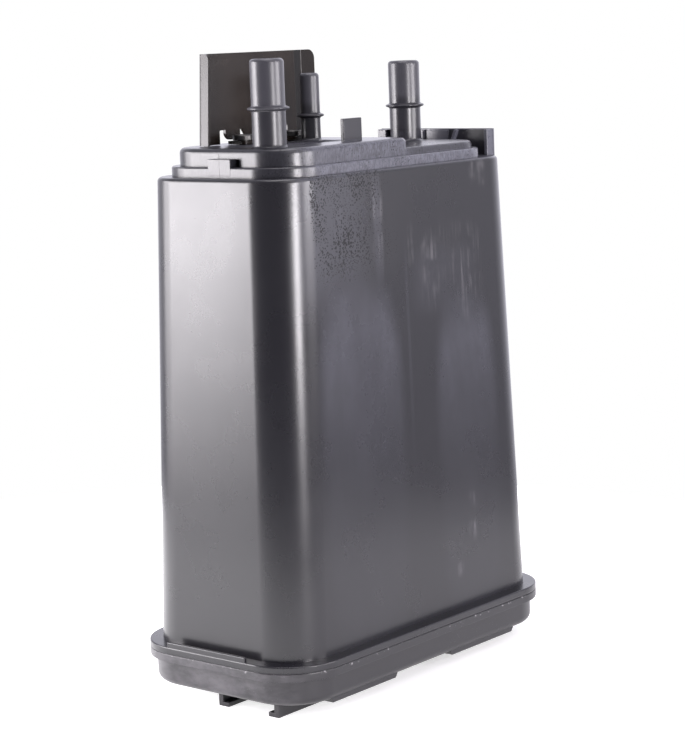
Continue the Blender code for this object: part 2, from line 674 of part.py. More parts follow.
def window_outline():
    """The opening at the plate's foot, left of the leg: a slot, the hanging tongue, and a slanted slot."""
    top = HIGH_DECK_Z + WINDOW_HEIGHT
    below = BRACKET_Z - OVERLAP
    hang = HIGH_DECK_Z + TONGUE_CLEARANCE
    tongue = arc((TONGUE_LEFT + TONGUE_CORNER, hang + TONGUE_CORNER), TONGUE_CORNER, 270, 180, 5)
    return (
        [(WINDOW_LEFT, below), (LEG_LEFT, below), (LEG_LEFT, hang), (LEG_LEFT - LEG_SLANT, top)]
        + [(TONGUE_RIGHT, top), (TONGUE_RIGHT, hang)]
        + tongue
        + [(TONGUE_LEFT, top), (WINDOW_LEFT, top)]
    )


def add_foot(bracket):
    """The foot, folded forwards from the leg and screwed to the deck."""
    thick = (PLATE_FRONT_Y - OVERLAP, PLATE_BACK_Y + OVERLAP)
    leg_low = (LEG_LEFT - OVERLAP, thick[0], BRACKET_Z - OVERLAP)
    leg_top = FOOT_TOP_Z + BEND_INNER
    cut(bracket, box("leg_bottom", leg_low, (LEG_RIGHT + OVERLAP, thick[1], leg_top)))
    bend = (PLATE_FRONT_Y - BEND_INNER, leg_top)
    outline = [(FOOT_BACK_Y - OVERLAP, BRACKET_Z)]
    outline += arc(bend, BEND_OUTER, 270, 360, 5)
    outline += [(PLATE_BACK_Y, leg_top + OVERLAP), (PLATE_FRONT_Y, leg_top + OVERLAP)]
    outline += arc(bend, BEND_INNER, 360, 270, 5)
    outline += [(FOOT_BACK_Y - OVERLAP, FOOT_TOP_Z)]
    join(bracket, prism("foot_bend", outline, "X", LEG_LEFT, LEG_RIGHT))
    corner_y = FOOT_FRONT_Y + FOOT_CORNER
    foot = arc((FOOT_LEFT + FOOT_CORNER, corner_y), FOOT_CORNER, 180, 270, 4)
    foot += arc((FOOT_RIGHT - FOOT_CORNER, corner_y), FOOT_CORNER, 270, 360, 4)
    foot += [(FOOT_RIGHT, FOOT_BACK_Y), (FOOT_LEFT, FOOT_BACK_Y)]
    join(bracket, prism("foot", foot, "Z", BRACKET_Z, FOOT_TOP_Z))
    for number, x in enumerate(SCREW_X, 1):
        hole = (BRACKET_Z - OVERLAP, FOOT_TOP_Z + OVERLAP)
        cut(bracket, cylinder(f"foot_hole_{number}", (x, SCREW_Y), SCREW_HOLE, *hole))


def build_bracket():
    bracket = plate_and_side_flange()
    top = HIGH_DECK_Z + PLATE_HEIGHT
    thick = (PLATE_FRONT_Y - OVERLAP, PLATE_BACK_Y + OVERLAP)
    cut(bracket, corner_cutter("plate_corner", "Y", (PLATE_RIGHT, top), PLATE_CORNER, *thick))
    side_front = PLATE_FRONT_Y - SIDE_FLANGE_REACH
    side = (PLATE_LEFT - OVERLAP, PLATE_LEFT + SHEET + OVERLAP)
    cut(bracket, corner_cutter("flange_corner", "X", (side_front, top), -SIDE_FLANGE_CORNER, *side))
    cut(bracket, prism("window", window_outline(), "Y", *thick))
    gap_low = (LEG_RIGHT, thick[0], BRACKET_Z - OVERLAP)
    cut(bracket, box("window_gap", gap_low, (WINDOW_RIGHT, thick[1], HIGH_DECK_Z + WINDOW_HEIGHT)))
    add_foot(bracket)
    return finish(bracket, (0.055, 0.049, 0.046), 0.42, 0.3)


def build_screw(number, x):
    """A low button-head screw with a hexagon socket."""
    seat = FOOT_TOP_Z + JOINT_GAP
    top = seat + HEAD_HEIGHT
    profile = [
        (0.0, top),
        (HEAD_RADIUS * 0.45, top - HEAD_HEIGHT * 0.03),
        (HEAD_RADIUS * 0.72, top - HEAD_HEIGHT * 0.2),
        (HEAD_RADIUS * 0.9, top - HEAD_HEIGHT * 0.5),
        (HEAD_RADIUS, top - HEAD_HEIGHT * 0.85),
        (HEAD_RADIUS, seat),
        (SCREW_RADIUS, seat),
        (SCREW_RADIUS, seat - SCREW_LENGTH + SCREW_RADIUS / 3),
        (SCREW_RADIUS * 2 / 3, seat - SCREW_LENGTH),
        (0.0, seat - SCREW_LENGTH),
    ]
    screw = turned(f"bracket_screw_{number}", profile, (x, SCREW_Y), 24)
    socket = (0.0, 0.0)
    cut(screw, cylinder(f"socket_{number}", socket, SOCKET_RADIUS, top - SOCKET_DEPTH, top + OVERLAP, 6))
    bpy.data.objects[f"socket_{number}"].location = (x, SCREW_Y, 0.0)
    return finish(screw, (0.30, 0.30, 0.32), 0.35, 0.9)


def chamber_piece(name, chamber, base, top):
    """A slice of the case's inside between two heights, on one side of the partition."""
    inset = WALL + FIT_GAP
    obj = loft(name, [body_section(base, inset), body_section(top, inset)])
    far = FLANGE_HALF_X + FLANGE_HALF_Y
    edge = WALL / 2 + FIT_GAP
    spans = {"main": (PARTITION_X - edge, far), "vent": (-far, PARTITION_X + edge)}
    low_x, high_x = spans[chamber]
    low = (low_x, -far, base - OVERLAP)
    cut(obj, box(name + "_side", low, (high_x, far, top + OVERLAP)))
    return obj


def perforate(plate, chamber, base, top):
    """Square windows in rows, kept clear of the edges."""
    edge = SHOULDER_HALF_X - GRID_MARGIN
    left, right = {"main": (-edge, PARTITION_X), "vent": (PARTITION_X, edge)}[chamber]
    columns = int((right - left - WINDOW_PITCH / 2) // WINDOW_PITCH)
    rows = int(2 * (SHOULDER_HALF_Y - GRID_MARGIN) // WINDOW_PITCH)
    start_x = (left + right) / 2 - WINDOW_PITCH * (columns - 1) / 2
    start_y = -WINDOW_PITCH * (rows - 1) / 2
    half = WINDOW_SIDE / 2
    low = (start_x - half, start_y - half, base - OVERLAP)
    cutter = box(plate.name + "_windows", low, (start_x + half, start_y + half, top + OVERLAP))
    for axis, count in ((0, columns), (1, rows)):
        repeat = cutter.modifiers.new("repeat", "ARRAY")
        repeat.count = count
        repeat.use_relative_offset = False
        repeat.use_constant_offset = True
        repeat.constant_offset_displace = (WINDOW_PITCH if axis == 0 else 0.0, WINDOW_PITCH if axis else 0.0, 0.0)
    cut(plate, cutter)


def build_chamber(chamber):
    """What fills one chamber, from the deck down: grid, fleece, carbon, fleece, sprung plate."""
    grid = chamber_piece(chamber + "_top_grid", chamber, GRID_Z, GRID_TOP_Z)
    perforate(grid, chamber, GRID_Z, GRID_TOP_Z)
    finish(grid, (0.60, 0.60, 0.58), 0.5)
    top = TOP_FILTER_Z + FILTER_THICKNESS
    finish(chamber_piece(chamber + "_top_filter", chamber, TOP_FILTER_Z, top), (0.75, 0.74, 0.70), 0.9)
    finish(chamber_piece(chamber + "_carbon_bed", chamber, BED_Z, BED_TOP_Z), (0.012, 0.012, 0.012), 0.9)
    top = BOTTOM_FILTER_Z + FILTER_THICKNESS
    finish(chamber_piece(chamber + "_bottom_filter", chamber, BOTTOM_FILTER_Z, top), (0.75, 0.74, 0.70), 0.9)
    top = PRESSURE_PLATE_Z + PLATE_THICKNESS
    plate = chamber_piece(chamber + "_pressure_plate", chamber, PRESSURE_PLATE_Z, top)
    perforate(plate, chamber, PRESSURE_PLATE_Z, top)
    finish(plate, (0.60, 0.60, 0.58), 0.5)


def build_spring(name, xy):
    """A compression spring whose wire ends lie on the cover's floor and under the pressure plate."""
    low = COVER_FLOOR_Z + JOINT_GAP + SPRING_WIRE
    high = PRESSURE_PLATE_Z - JOINT_GAP - SPRING_WIRE
    per_turn = 14
    count = SPRING_TURNS * per_turn
    curve = bpy.data.curves.new(name, "CURVE")
    curve.dimensions = "3D"
    curve.bevel_depth = SPRING_WIRE
    curve.bevel_resolution = 1
    curve.use_fill_caps = True
    wire = curve.splines.new("POLY")
    wire.points.add(count)
    for i in range(count + 1):
        turn = i / per_turn
        rise = min(max(turn - DEAD_TURNS, 0.0) / (SPRING_TURNS - 2 * DEAD_TURNS), 1.0)
        end = 2 * SPRING_WIRE + JOINT_GAP
        lift = end * (min(turn, DEAD_TURNS) + max(turn - SPRING_TURNS + DEAD_TURNS, 0.0)) / DEAD_TURNS
        z = low + lift + (high - low - 2 * end) * rise
        angle = 2 * math.pi * turn
        x = xy[0] + SPRING_RADIUS * math.cos(angle)
        y = xy[1] + SPRING_RADIUS * math.sin(angle)
        wire.points[i].co = (x, y, z, 1.0)
    spring = bpy.data.objects.new(name, curve)
    bpy.context.scene.collection.objects.link(spring)
    return finish(spring, (0.55, 0.55, 0.56), 0.3, 1.0)


def main():
    clear_scene()
    helper_collection()
    build_case()
    build_cover()
    build_bracket()
    for number, x in enumerate(SCREW_X, 1):
        build_screw(number, x)
    for chamber, springs in (("main", MAIN_SPRINGS), ("vent", VENT_SPRINGS)):
        build_chamber(chamber)
        for number, xy in enumerate(springs, 1):
            build_spring(f"{chamber}_spring_{number}", xy)


main()
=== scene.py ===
"""A fuel-vapour canister as it looks: moulded black plastic case and cover, and a coated steel bracket."""

import math

import bmesh
import bpy
from mathutils import Matrix, Vector


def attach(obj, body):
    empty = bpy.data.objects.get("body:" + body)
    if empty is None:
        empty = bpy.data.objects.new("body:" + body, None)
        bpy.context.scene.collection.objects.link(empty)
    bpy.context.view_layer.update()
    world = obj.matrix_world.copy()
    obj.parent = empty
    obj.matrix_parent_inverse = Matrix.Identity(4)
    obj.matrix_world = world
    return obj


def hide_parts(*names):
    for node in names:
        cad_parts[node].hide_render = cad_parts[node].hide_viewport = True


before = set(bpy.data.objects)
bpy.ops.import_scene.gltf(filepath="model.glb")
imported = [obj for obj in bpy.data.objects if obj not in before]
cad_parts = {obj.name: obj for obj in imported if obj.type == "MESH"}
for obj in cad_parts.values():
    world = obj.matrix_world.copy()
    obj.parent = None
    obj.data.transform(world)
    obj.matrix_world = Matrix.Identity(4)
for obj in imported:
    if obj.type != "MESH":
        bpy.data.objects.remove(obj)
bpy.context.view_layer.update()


# The bottom cover is a shallow dish moulded in black plastic, with a flange that is welded under the case's.
# It stands on two L-shaped rails, and four low pads run along the long edges of its underside.

WALL = 0.0025
COVER_HALF = (0.1010, 0.0522)
COVER_CORNER = 0.0251
COVER_RIM = 0.0040
COVER_BOTTOM_Z = 0.0073
COVER_FLANGE_Z = 0.0199
COVER_TOP_Z = 0.0240
FLANGE_HALF = (0.1043, 0.0555)
FLANGE_CORNER = 0.0284
PAD_SPANS_X = ((-0.0790, -0.0240), (0.0140, 0.0730))
PAD_SPANS_Y = ((-0.0505, -0.0420), (0.0420, 0.0505))
PAD_FOOT_Z = 0.0055
PAD_TOP_Z = 0.0113
PAD_FOOT_SHARE = 0.86
RAILS = ((-0.0329, 1), (0.0049, -1))
RAIL_HALF_X = 0.0940
RAIL_LEG = (0.0028, 0.0083)
RAIL_TOE = (0.0063, 0.0022)
SPRING_SEATS = ((-0.0680, 0.0), (-0.0137, 0.0), (0.05685, -0.0220), (0.05685, 0.0220))
SEAT_PROFILE = ((0.0, 0.0138), (0.0088, 0.0138), (0.0094, 0.0132), (0.0094, 0.0088), (0.0, 0.0088))
SMEAR_AND_LIGHT_GREY = (0.115, 0.109, 0.118)
FLAKE_GREY = (0.36, 0.35, 0.36)
SPECK_GREY = (0.13, 0.13, 0.135)


def block(low, high):
    """A cube stretched between two corners."""
    bm = bmesh.new()
    size = [b - a for a, b in zip(low, high)]
    middle = [(a + b) / 2 for a, b in zip(low, high)]
    bmesh.ops.create_cube(bm, size=1.0, matrix=Matrix.Translation(middle) @ Matrix.Diagonal((*size, 1.0)))
    return bm


def round_edges(bm, chosen, radius, segments):
    """Bevels the edges whose two ends both pass the test."""
    bmesh.ops.bevel(
        bm,
        geom=[e for e in bm.edges if chosen(e.verts[0].co, e.verts[1].co)],
        offset=radius,
        segments=segments,
        profile=0.5,
        affect="EDGES",
        material=-1,
        clamp_overlap=True,
    )
    return bm


def is_upright(a, b):
    return abs(a.z - b.z) > 10 * math.hypot(a.x - b.x, a.y - b.y)


def at_height(z):
    return lambda a, b: abs(a.z - z) < 1e-6 and abs(b.z - z) < 1e-6


def rounded_block(low, high, corner, top=0.0, bottom=0.0, steps=20, rim=4):
    """A block with rounded upright corners and, where asked, rounded rims."""
    bm = round_edges(block(low, high), is_upright, corner, steps)
    if top:
        round_edges(bm, at_height(high[2]), top, rim)
    if bottom:
        round_edges(bm, at_height(low[2]), bottom, rim)
    return bm


def slab(half, corner, base, top_z, inset=0.0, **rims):
    """A rounded block around the middle, moved in by the inset on all sides."""
    x = half[0] - inset
    y = half[1] - inset
    return rounded_block((-x, -y, base), (x, y, top_z), corner - inset, **rims)


def soft_block(low, high, radius, segments=3):
    """A block with every edge rounded a little."""
    return round_edges(block(low, high), lambda a, b: True, radius, segments)


def rail_bar(outer_y, inward, reach, top_z):
    """One long bar of a rail, from its outer face inwards and from the ground up."""
    y_low, y_high = sorted((outer_y, outer_y + inward * reach))
    return soft_block((-RAIL_HALF_X, y_low, 0.0), (RAIL_HALF_X, y_high, top_z), 0.0002, 2)


def turned(profile, at, steps=64):
    """A closed turned shape from (radius, z) points that run down its outer side."""
    bm = bmesh.new()
    verts = [bm.verts.new((radius, 0.0, z)) for radius, z in profile]
    edges = [bm.edges.new(pair) for pair in zip(verts, verts[1:])]
    bmesh.ops.spin(
        bm, geom=verts + edges, cent=(0, 0, 0), axis=(0, 0, 1), angle=math.tau, steps=steps, use_merge=True
    )
    bmesh.ops.remove_doubles(bm, verts=bm.verts, dist=1e-7)
    bmesh.ops.recalc_face_normals(bm, faces=bm.faces)
    bmesh.ops.translate(bm, verts=bm.verts, vec=(at[0], at[1], 0.0))
    return bm


def as_object(name, bm):
    mesh = bpy.data.meshes.new(name)
    bm.to_mesh(mesh)
    bm.free()
    obj = bpy.data.objects.new(name, mesh)
    bpy.context.scene.collection.objects.link(obj)
    return obj


def combine(obj, tool, operation):
    """Joins or cuts with another shape for good, and drops that shape."""
    other = as_object("tool", tool)
    modifier = obj.modifiers.new("shape", "BOOLEAN")
    modifier.object = other
    modifier.operation = operation
    modifier.solver = "EXACT"
    graph = bpy.context.evaluated_depsgraph_get()
    mesh = bpy.data.meshes.new_from_object(obj.evaluated_get(graph))
    obj.modifiers.clear()
    old = obj.data
    obj.data = mesh
    mesh.name = obj.name
    bpy.data.meshes.remove(old)
    bpy.data.meshes.remove(other.data)


def join(obj, tool):
    combine(obj, tool, "UNION")


def cut(obj, tool):
    combine(obj, tool, "DIFFERENCE")


def place(obj, material, cad_node):
    """Shades a finished piece, its flat faces flat, gives it its material and its body, and hides the node it
    stands for.
    """
    obj.data.shade_smooth()
    obj.data.set_sharp_from_angle(angle=math.radians(32))
    modifier = obj.modifiers.new("flat faces", "WEIGHTED_NORMAL")
    modifier.keep_sharp = True
    obj.data.materials.clear()
    obj.data.materials.append(material)
    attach(obj, "root")
    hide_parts(cad_node)


def node(tree, kind, **settings):
    made = tree.nodes.new(kind)
    for name, value in settings.items():
        setattr(made, name, value)
    return made


def math_node(tree, operation, *values):
    made = node(tree, "ShaderNodeMath", operation=operation)
    for socket, value in zip(made.inputs, values):
        if isinstance(value, (int, float)):
            socket.default_value = value
        else:
            tree.links.new(value, socket)
    return made.outputs["Value"]


def product(tree, first, *others):
    for other in others:
        first = math_node(tree, "MULTIPLY", first, other)
    return first


def ramp(tree, value, start, end, low=0.0, high=1.0, kind="SMOOTHSTEP"):
    """A step from low, where the value is at the start, to high at the end."""
    made = node(tree, "ShaderNodeMapRange", interpolation_type=kind)
    made.inputs["From Min"].default_value = start
    made.inputs["From Max"].default_value = end
    made.inputs["To Min"].default_value = low
    made.inputs["To Max"].default_value = high
    tree.links.new(value, made.inputs["Value"])
    return made.outputs["Result"]


def on_object(tree):
    return node(tree, "ShaderNodeTexCoord").outputs["Object"]


def axes(tree, where):
    split = node(tree, "ShaderNodeSeparateXYZ")
    tree.links.new(where, split.inputs["Vector"])
    return split.outputs


def noise(tree, where, scale, stretch=(1.0, 1.0, 1.0), lean=0.0, **inputs):
    """A cloudy pattern from 0 to 1, stretched and leaning over where asked."""
    stretched = node(tree, "ShaderNodeMapping")
    stretched.inputs["Rotation"].default_value = (0.0, math.radians(lean), 0.0)
    stretched.inputs["Scale"].default_value = stretch
    tree.links.new(where, stretched.inputs["Vector"])
    made = node(tree, "ShaderNodeTexNoise")
    made.inputs["Scale"].default_value = scale
    for name, value in inputs.items():
        made.inputs[name].default_value = value
    tree.links.new(stretched.outputs["Vector"], made.inputs["Vector"])
    return made.outputs["Fac"]


def cells(tree, where, scale):
    """How far each point is from the middle of its cell, and a colour drawn for each cell."""
    made = node(tree, "ShaderNodeTexVoronoi")
    made.inputs["Scale"].default_value = scale
    tree.links.new(where, made.inputs["Vector"])
    return made.outputs["Distance"], made.outputs["Color"]


def blend(tree, amount, base, tint):
    """Lays a tint over a colour."""
    made = node(tree, "ShaderNodeMix", data_type="RGBA")
    made.inputs["B"].default_value = (*tint, 1.0)
    tree.links.new(amount, made.inputs["Factor"])
    tree.links.new(base, made.inputs["A"])
    return made.outputs["Result"]


def bump(tree, height, distance, strength=1.0, under=None, invert=False):
    """The normal of a surface that rises and falls with the height, laid over another one where given."""
    made = node(tree, "ShaderNodeBump", invert=invert)
    made.inputs["Distance"].default_value = distance
    made.inputs["Strength"].default_value = strength
    tree.links.new(height, made.inputs["Height"])
    if under is not None:
        tree.links.new(under, made.inputs["Normal"])
    return made.outputs["Normal"]


def new_group(name, inputs, outputs):
    """A node group with named sockets, each with its kind."""
    tree = bpy.data.node_groups.new(name, "ShaderNodeTree")
    for in_out, sockets in (("INPUT", inputs), ("OUTPUT", outputs)):
        for socket, kind in sockets.items():
            tree.interface.new_socket(socket, in_out=in_out, socket_type="NodeSocket" + kind)
    return tree


def new_material(name):
    material = bpy.data.materials.new(name)
    material.use_nodes = True
    return material, material.node_tree, material.node_tree.nodes["Principled BSDF"]


def moulded_surface_group():
    """Moulded plastic as the light shows it: fine orange peel, slow waves, wiped smears and dust specks."""
    tree = new_group(
        "moulded surface",
        {"Color": "Color", "Roughness": "Float", "Smears": "Float", "Waves": "Float", "Specks": "Float"},
        {"Color": "Color", "Roughness": "Float", "Normal": "Vector"},
    )
    link = tree.links.new
    given = node(tree, "NodeGroupInput").outputs
    out = node(tree, "NodeGroupOutput").inputs
    where = on_object(tree)

    wiped = noise(tree, where, 26.0, Detail=5.0, Roughness=0.62)
    smears = product(tree, ramp(tree, wiped, 0.25, 0.85, -0.05, 0.14, "LINEAR"), given["Smears"])
    link(math_node(tree, "ADD", given["Roughness"], smears), out["Roughness"])

    near_speck = ramp(tree, cells(tree, where, 620.0)[0], 0.20, 0.10, kind="LINEAR")
    dusty = ramp(tree, noise(tree, where, 42.0, Detail=3.0), 0.50, 0.62, kind="LINEAR")
    specks = product(tree, near_speck, dusty, given["Specks"])
    link(blend(tree, specks, given["Color"], SPECK_GREY), out["Color"])

    waves = product(tree, noise(tree, where, 14.0, Detail=1.5), given["Waves"])
    peel = noise(tree, where, 900.0, Detail=2.0)
    link(bump(tree, peel, 0.000003, 0.5, bump(tree, waves, 0.0012, 0.5)), out["Normal"])
    return tree


def moulded_plastic(name, **values):
    """A material of moulded plastic, ready for marks of its own."""
    material, tree, shader = new_material(name)
    shader.inputs["IOR"].default_value = 1.5
    surface = node(tree, "ShaderNodeGroup", node_tree=moulded_surface)
    for socket, value in values.items():
        surface.inputs[socket].default_value = value
    for output, socket in (("Color", "Base Color"), ("Roughness", "Roughness"), ("Normal", "Normal")):
        tree.links.new(surface.outputs[output], shader.inputs[socket])
    return material, tree, shader, surface.outputs


moulded_surface = moulded_surface_group()
cover_plastic, tree, shader, surface = moulded_plastic(
    "cover plastic", Color=(0.0150, 0.0140, 0.0170, 1.0), Roughness=0.34, Smears=0.7, Waves=0.3, Specks=0.5
)
where = on_object(tree)
at = axes(tree, where)
# The cover's left end is painted lighter in wiped grey smears: partly dust, partly painted light on the end
# that faces the side lamps.
lit_left_end = ramp(tree, at["X"], -0.0900, -0.1005)
wiped = ramp(tree, noise(tree, where, 55.0, (1.0, 1.0, 2.2), Detail=6.0, Roughness=0.65), 0.22, 0.85)
smeared_and_lit = blend(tree, product(tree, lit_left_end, wiped), surface["Color"], SMEAR_AND_LIGHT_GREY)
weld_rim = ramp(tree, at["Z"], 0.0222, 0.0234)
flakes = ramp(tree, noise(tree, where, 420.0, (1.0, 1.0, 0.8), Detail=4.0, Roughness=0.6), 0.58, 0.74)
flaked = blend(tree, product(tree, weld_rim, flakes), smeared_and_lit, FLAKE_GREY)
tree.links.new(flaked, shader.inputs["Base Color"])

dish = slab(COVER_HALF, COVER_CORNER, COVER_BOTTOM_Z, COVER_TOP_Z, bottom=COVER_RIM, rim=6)
cover = as_object("cover", dish)
join(cover, slab(FLANGE_HALF, FLANGE_CORNER, COVER_FLANGE_Z, COVER_TOP_Z, top=0.0005, bottom=0.0006, rim=2))
for y_low, y_high in PAD_SPANS_Y:
    for x_low, x_high in PAD_SPANS_X:
        pad = block((x_low, y_low, PAD_FOOT_Z), (x_high, y_high, PAD_TOP_Z))
        foot = [v for v in pad.verts if v.co.z < 0.006]
        middle = Matrix.Translation((-(x_low + x_high) / 2, 0, 0))
        bmesh.ops.scale(pad, verts=foot, vec=(PAD_FOOT_SHARE, 1.0, 1.0), space=middle)
        round_edges(pad, lambda a, b: max(a.z, b.z) < 0.006, 0.0004, 2)
        join(cover, pad)
for outer_y, inward in RAILS:
    rail = as_object("rail", rail_bar(outer_y, inward, *RAIL_LEG))
    join(rail, rail_bar(outer_y, inward, *RAIL_TOE))
    shape = bmesh.new()
    shape.from_mesh(rail.data)
    bpy.data.meshes.remove(rail.data)
    join(cover, shape)
cut(cover, slab(COVER_HALF, COVER_CORNER, COVER_BOTTOM_Z + WALL, COVER_TOP_Z + 0.0010, WALL))
for seat in SPRING_SEATS:
    join(cover, turned(SEAT_PROFILE, seat, 40))
place(cover, cover_plastic, "bottom_cover")


# Inside stand four compression springs of bright wire, and on them two pressure plates of natural plastic
# with square windows. They keep the carbon packed as the car shakes it.


def two_tone(tree, value, dark, pale, start=0.0, end=1.0):
    """A colour between a dark and a pale one, by the value."""
    made = node(tree, "ShaderNodeValToRGB")
    first = made.color_ramp.elements[0]
    last = made.color_ramp.elements[1]
    first.position = start
    last.position = end
    first.color = (*dark, 1.0)
    last.color = (*pale, 1.0)
    tree.links.new(value, made.inputs["Fac"])
    return made.outputs["Color"]


def dress(names, material):
    """Gives pieces that stay as the solids are their material."""
    for name in names:
        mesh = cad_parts[name].data
        mesh.materials.clear()
        mesh.materials.append(material)


spring_wire, tree, shader = new_material("spring wire")
shader.inputs["Metallic"].default_value = 1.0
shader.inputs["Roughness"].default_value = 0.28
drawn = two_tone(tree, noise(tree, on_object(tree), 700.0), (0.36, 0.36, 0.37), (0.66, 0.66, 0.67))
tree.links.new(drawn, shader.inputs["Base Color"])
dress(("main_spring_1", "main_spring_2", "vent_spring_1", "vent_spring_2"), spring_wire)

natural_plastic = moulded_plastic(
    "natural plastic", Color=(0.56, 0.55, 0.51, 1.0), Roughness=0.45, Smears=0.4, Waves=0.3, Specks=0.0
)[0]
dress(("main_pressure_plate", "vent_pressure_plate", "main_top_grid", "vent_top_grid"), natural_plastic)


# Each chamber holds activated carbon in small pellets, with a white fleece under it and another over it
# that keep the dust out of the hoses.

carbon_pellets, tree, shader = new_material("carbon pellets")
shader.inputs["Roughness"].default_value = 0.8
pellets = cells(tree, on_object(tree), 420.0)[0]
# The pellets are painted darker towards their edges: painted shade in the gaps between them.
tree.links.new(two_tone(tree, pellets, (0.030,) * 3, (0.004,) * 3), shader.inputs["Base Color"])
tree.links.new(bump(tree, pellets, 0.0008, invert=True), shader.inputs["Normal"])

fleece, tree, shader = new_material("fleece")
shader.inputs["Roughness"].default_value = 0.95
fibres = noise(tree, on_object(tree), 900.0, Detail=6.0, Distortion=2.5)
tree.links.new(two_tone(tree, fibres, (0.55, 0.54, 0.50), (0.82, 0.81, 0.77)), shader.inputs["Base Color"])
tree.links.new(bump(tree, fibres, 0.0003), shader.inputs["Normal"])
for chamber in ("main", "vent"):
    dress((chamber + "_carbon_bed",), carbon_pellets)
    dress((chamber + "_top_filter", chamber + "_bottom_filter"), fleece)


# The case is one moulding in black plastic: a tall box that narrows upwards, with big round corners and a
# flange at its foot. A partition inside parts the long chamber from the short one.

CASE_BASE_Z = 0.0243
FLANGE_TOP_Z = 0.0275
SHOULDER_Z = 0.2503
FOOT_HALF = (0.0977, 0.0489)
SHOULDER_HALF = (0.0895, 0.0454)
BODY_CORNER = 0.0218
BODY_RISE = 0.0265
WIDE_BULGE = 0.0005
END_BULGE = 0.00008
BULGE_REACH = (0.074, 0.026)
LIP = ((-0.1040, -0.0220, 0.0262), (-0.1023, 0.0280, 0.0299))
WELD_Z = (0.0241, 0.0248)
WELD_INSET = 0.0002


def tapered_body(base, top, inset, steps):
    """The drafted box between two heights, moved in by the inset, before its rims are rounded."""
    bm = block((-1.0, -1.0, base), (1.0, 1.0, top))
    for vert in bm.verts:
        up = (vert.co.z - FLANGE_TOP_Z) / (SHOULDER_Z - FLANGE_TOP_Z)
        vert.co.x *= FOOT_HALF[0] + up * (SHOULDER_HALF[0] - FOOT_HALF[0]) - inset
        vert.co.y *= FOOT_HALF[1] + up * (SHOULDER_HALF[1] - FOOT_HALF[1]) - inset
    return round_edges(bm, is_upright, BODY_CORNER - inset, steps)


def slice_at(bm, axis, offset):
    """Cuts the faces along a plane across an axis, so that they can bend there."""
    point = Vector((0, 0, 0))
    normal = Vector((0, 0, 0))
    point[axis] = offset
    normal[axis] = 1.0
    everything = bm.verts[:] + bm.edges[:] + bm.faces[:]
    bmesh.ops.bisect_plane(bm, geom=everything, dist=1e-7, plane_co=point, plane_no=normal)


body = tapered_body(CASE_BASE_Z, SHOULDER_Z, 0.0, 32)
round_edges(body, at_height(SHOULDER_Z), 0.0020, 6)
for axis, reach, count in ((0, 0.075, 7), (1, 0.030, 5)):
    for i in range(count):
        slice_at(body, axis, reach * (2 * i / (count - 1) - 1) * 0.86)
for i in range(1, 8):
    slice_at(body, 2, FLANGE_TOP_Z + BODY_RISE * i)
for vert in body.verts:
    x, y, z = vert.co
    if z > SHOULDER_Z - 0.0015:
        continue
    rise = math.sin(math.pi * min(max((z - FLANGE_TOP_Z) / (SHOULDER_Z - FLANGE_TOP_Z), 0.0), 1.0)) ** 0.5
    if abs(y) > 0.040:
        vert.co.y += math.copysign(WIDE_BULGE * max(0.0, 1 - (x / BULGE_REACH[0]) ** 2) * rise, y)
    if abs(x) > 0.080:
        vert.co.x += math.copysign(END_BULGE * max(0.0, 1 - (y / BULGE_REACH[1]) ** 2) * rise, x)
case = as_object("case", body)
join(case, slab(FLANGE_HALF, FLANGE_CORNER, CASE_BASE_Z, FLANGE_TOP_Z, top=0.0007, bottom=0.0005, rim=3))
join(case, soft_block(*LIP, 0.0005))
join(case, slab(FLANGE_HALF, FLANGE_CORNER, *WELD_Z, WELD_INSET))


# The deck on top is a lower step all round and an upper one, high under the bracket and lower at the
# right-hand stub. It is part of the case's moulding.

HIGH_DECK_Z = 0.2635
LOW_DECK_Z = 0.2587
LOWER_STEP = ((-0.0830, -0.0420, 0.2493), (0.0780, 0.0420, 0.2551))
LOW_DECK = ((-0.0590, -0.0386, 0.2500), (0.0760, 0.0386, LOW_DECK_Z))
HIGH_DECK = ((-0.0790, -0.0390, 0.2500), (0.0140, 0.0390, HIGH_DECK_Z))
DECK_CORNER = 0.0198
HIGH_END_CORNER = 0.0080
HIGH_DECK_RIM = 0.0025
END_TAB = ((-0.08305, -0.0078, 0.2512), (-0.0775, 0.0063, 0.2589))
TAB_POCKET = ((-0.0820, -0.0097, 0.2549), (-0.0740, -0.0074, 0.2587))
MOULD_LINES = (
    (-0.0830, -0.0009, 0.2505, 0.2546),
    (-0.0830, -0.0009, 0.2545, 0.2585),
    (-0.0790, 0.0028, 0.2586, 0.2610),
)
UPRIGHT_TAB = ((-0.0234, -0.0270, 0.2625), (-0.0096, -0.0250, 0.2743))
POST = ((0.05875, 0.01275, 0.2577), (0.06325, 0.01725, 0.2645))

join(case, rounded_block(*LOWER_STEP, BODY_CORNER, top=0.0010))
join(case, rounded_block(*LOW_DECK, DECK_CORNER, top=0.0020, rim=6))
high_deck = block(*HIGH_DECK)
round_edges(high_deck, lambda a, b: is_upright(a, b) and a.x < 0, DECK_CORNER, 24)
round_edges(high_deck, lambda a, b: is_upright(a, b) and min(a.x, b.x) > 0.013, HIGH_END_CORNER, 12)
join(case, round_edges(high_deck, at_height(HIGH_DECK_Z), HIGH_DECK_RIM, 6))
join(case, soft_block(*END_TAB, 0.00025))
cut(case, soft_block(*TAB_POCKET, 0.0007))
for x, y, low, high in MOULD_LINES:
    join(case, block((x - 0.00012, y - 0.0001, low), (x + 0.0010, y + 0.0001, high)))
for corners in (UPRIGHT_TAB, POST):
    join(case, soft_block(*corners, 0.0004))


# An upright wall stands along the right end, with end walls and two ribs towards the deck: a channel where
# a pipe lies. The front rib leans. All of it is moulded on too.

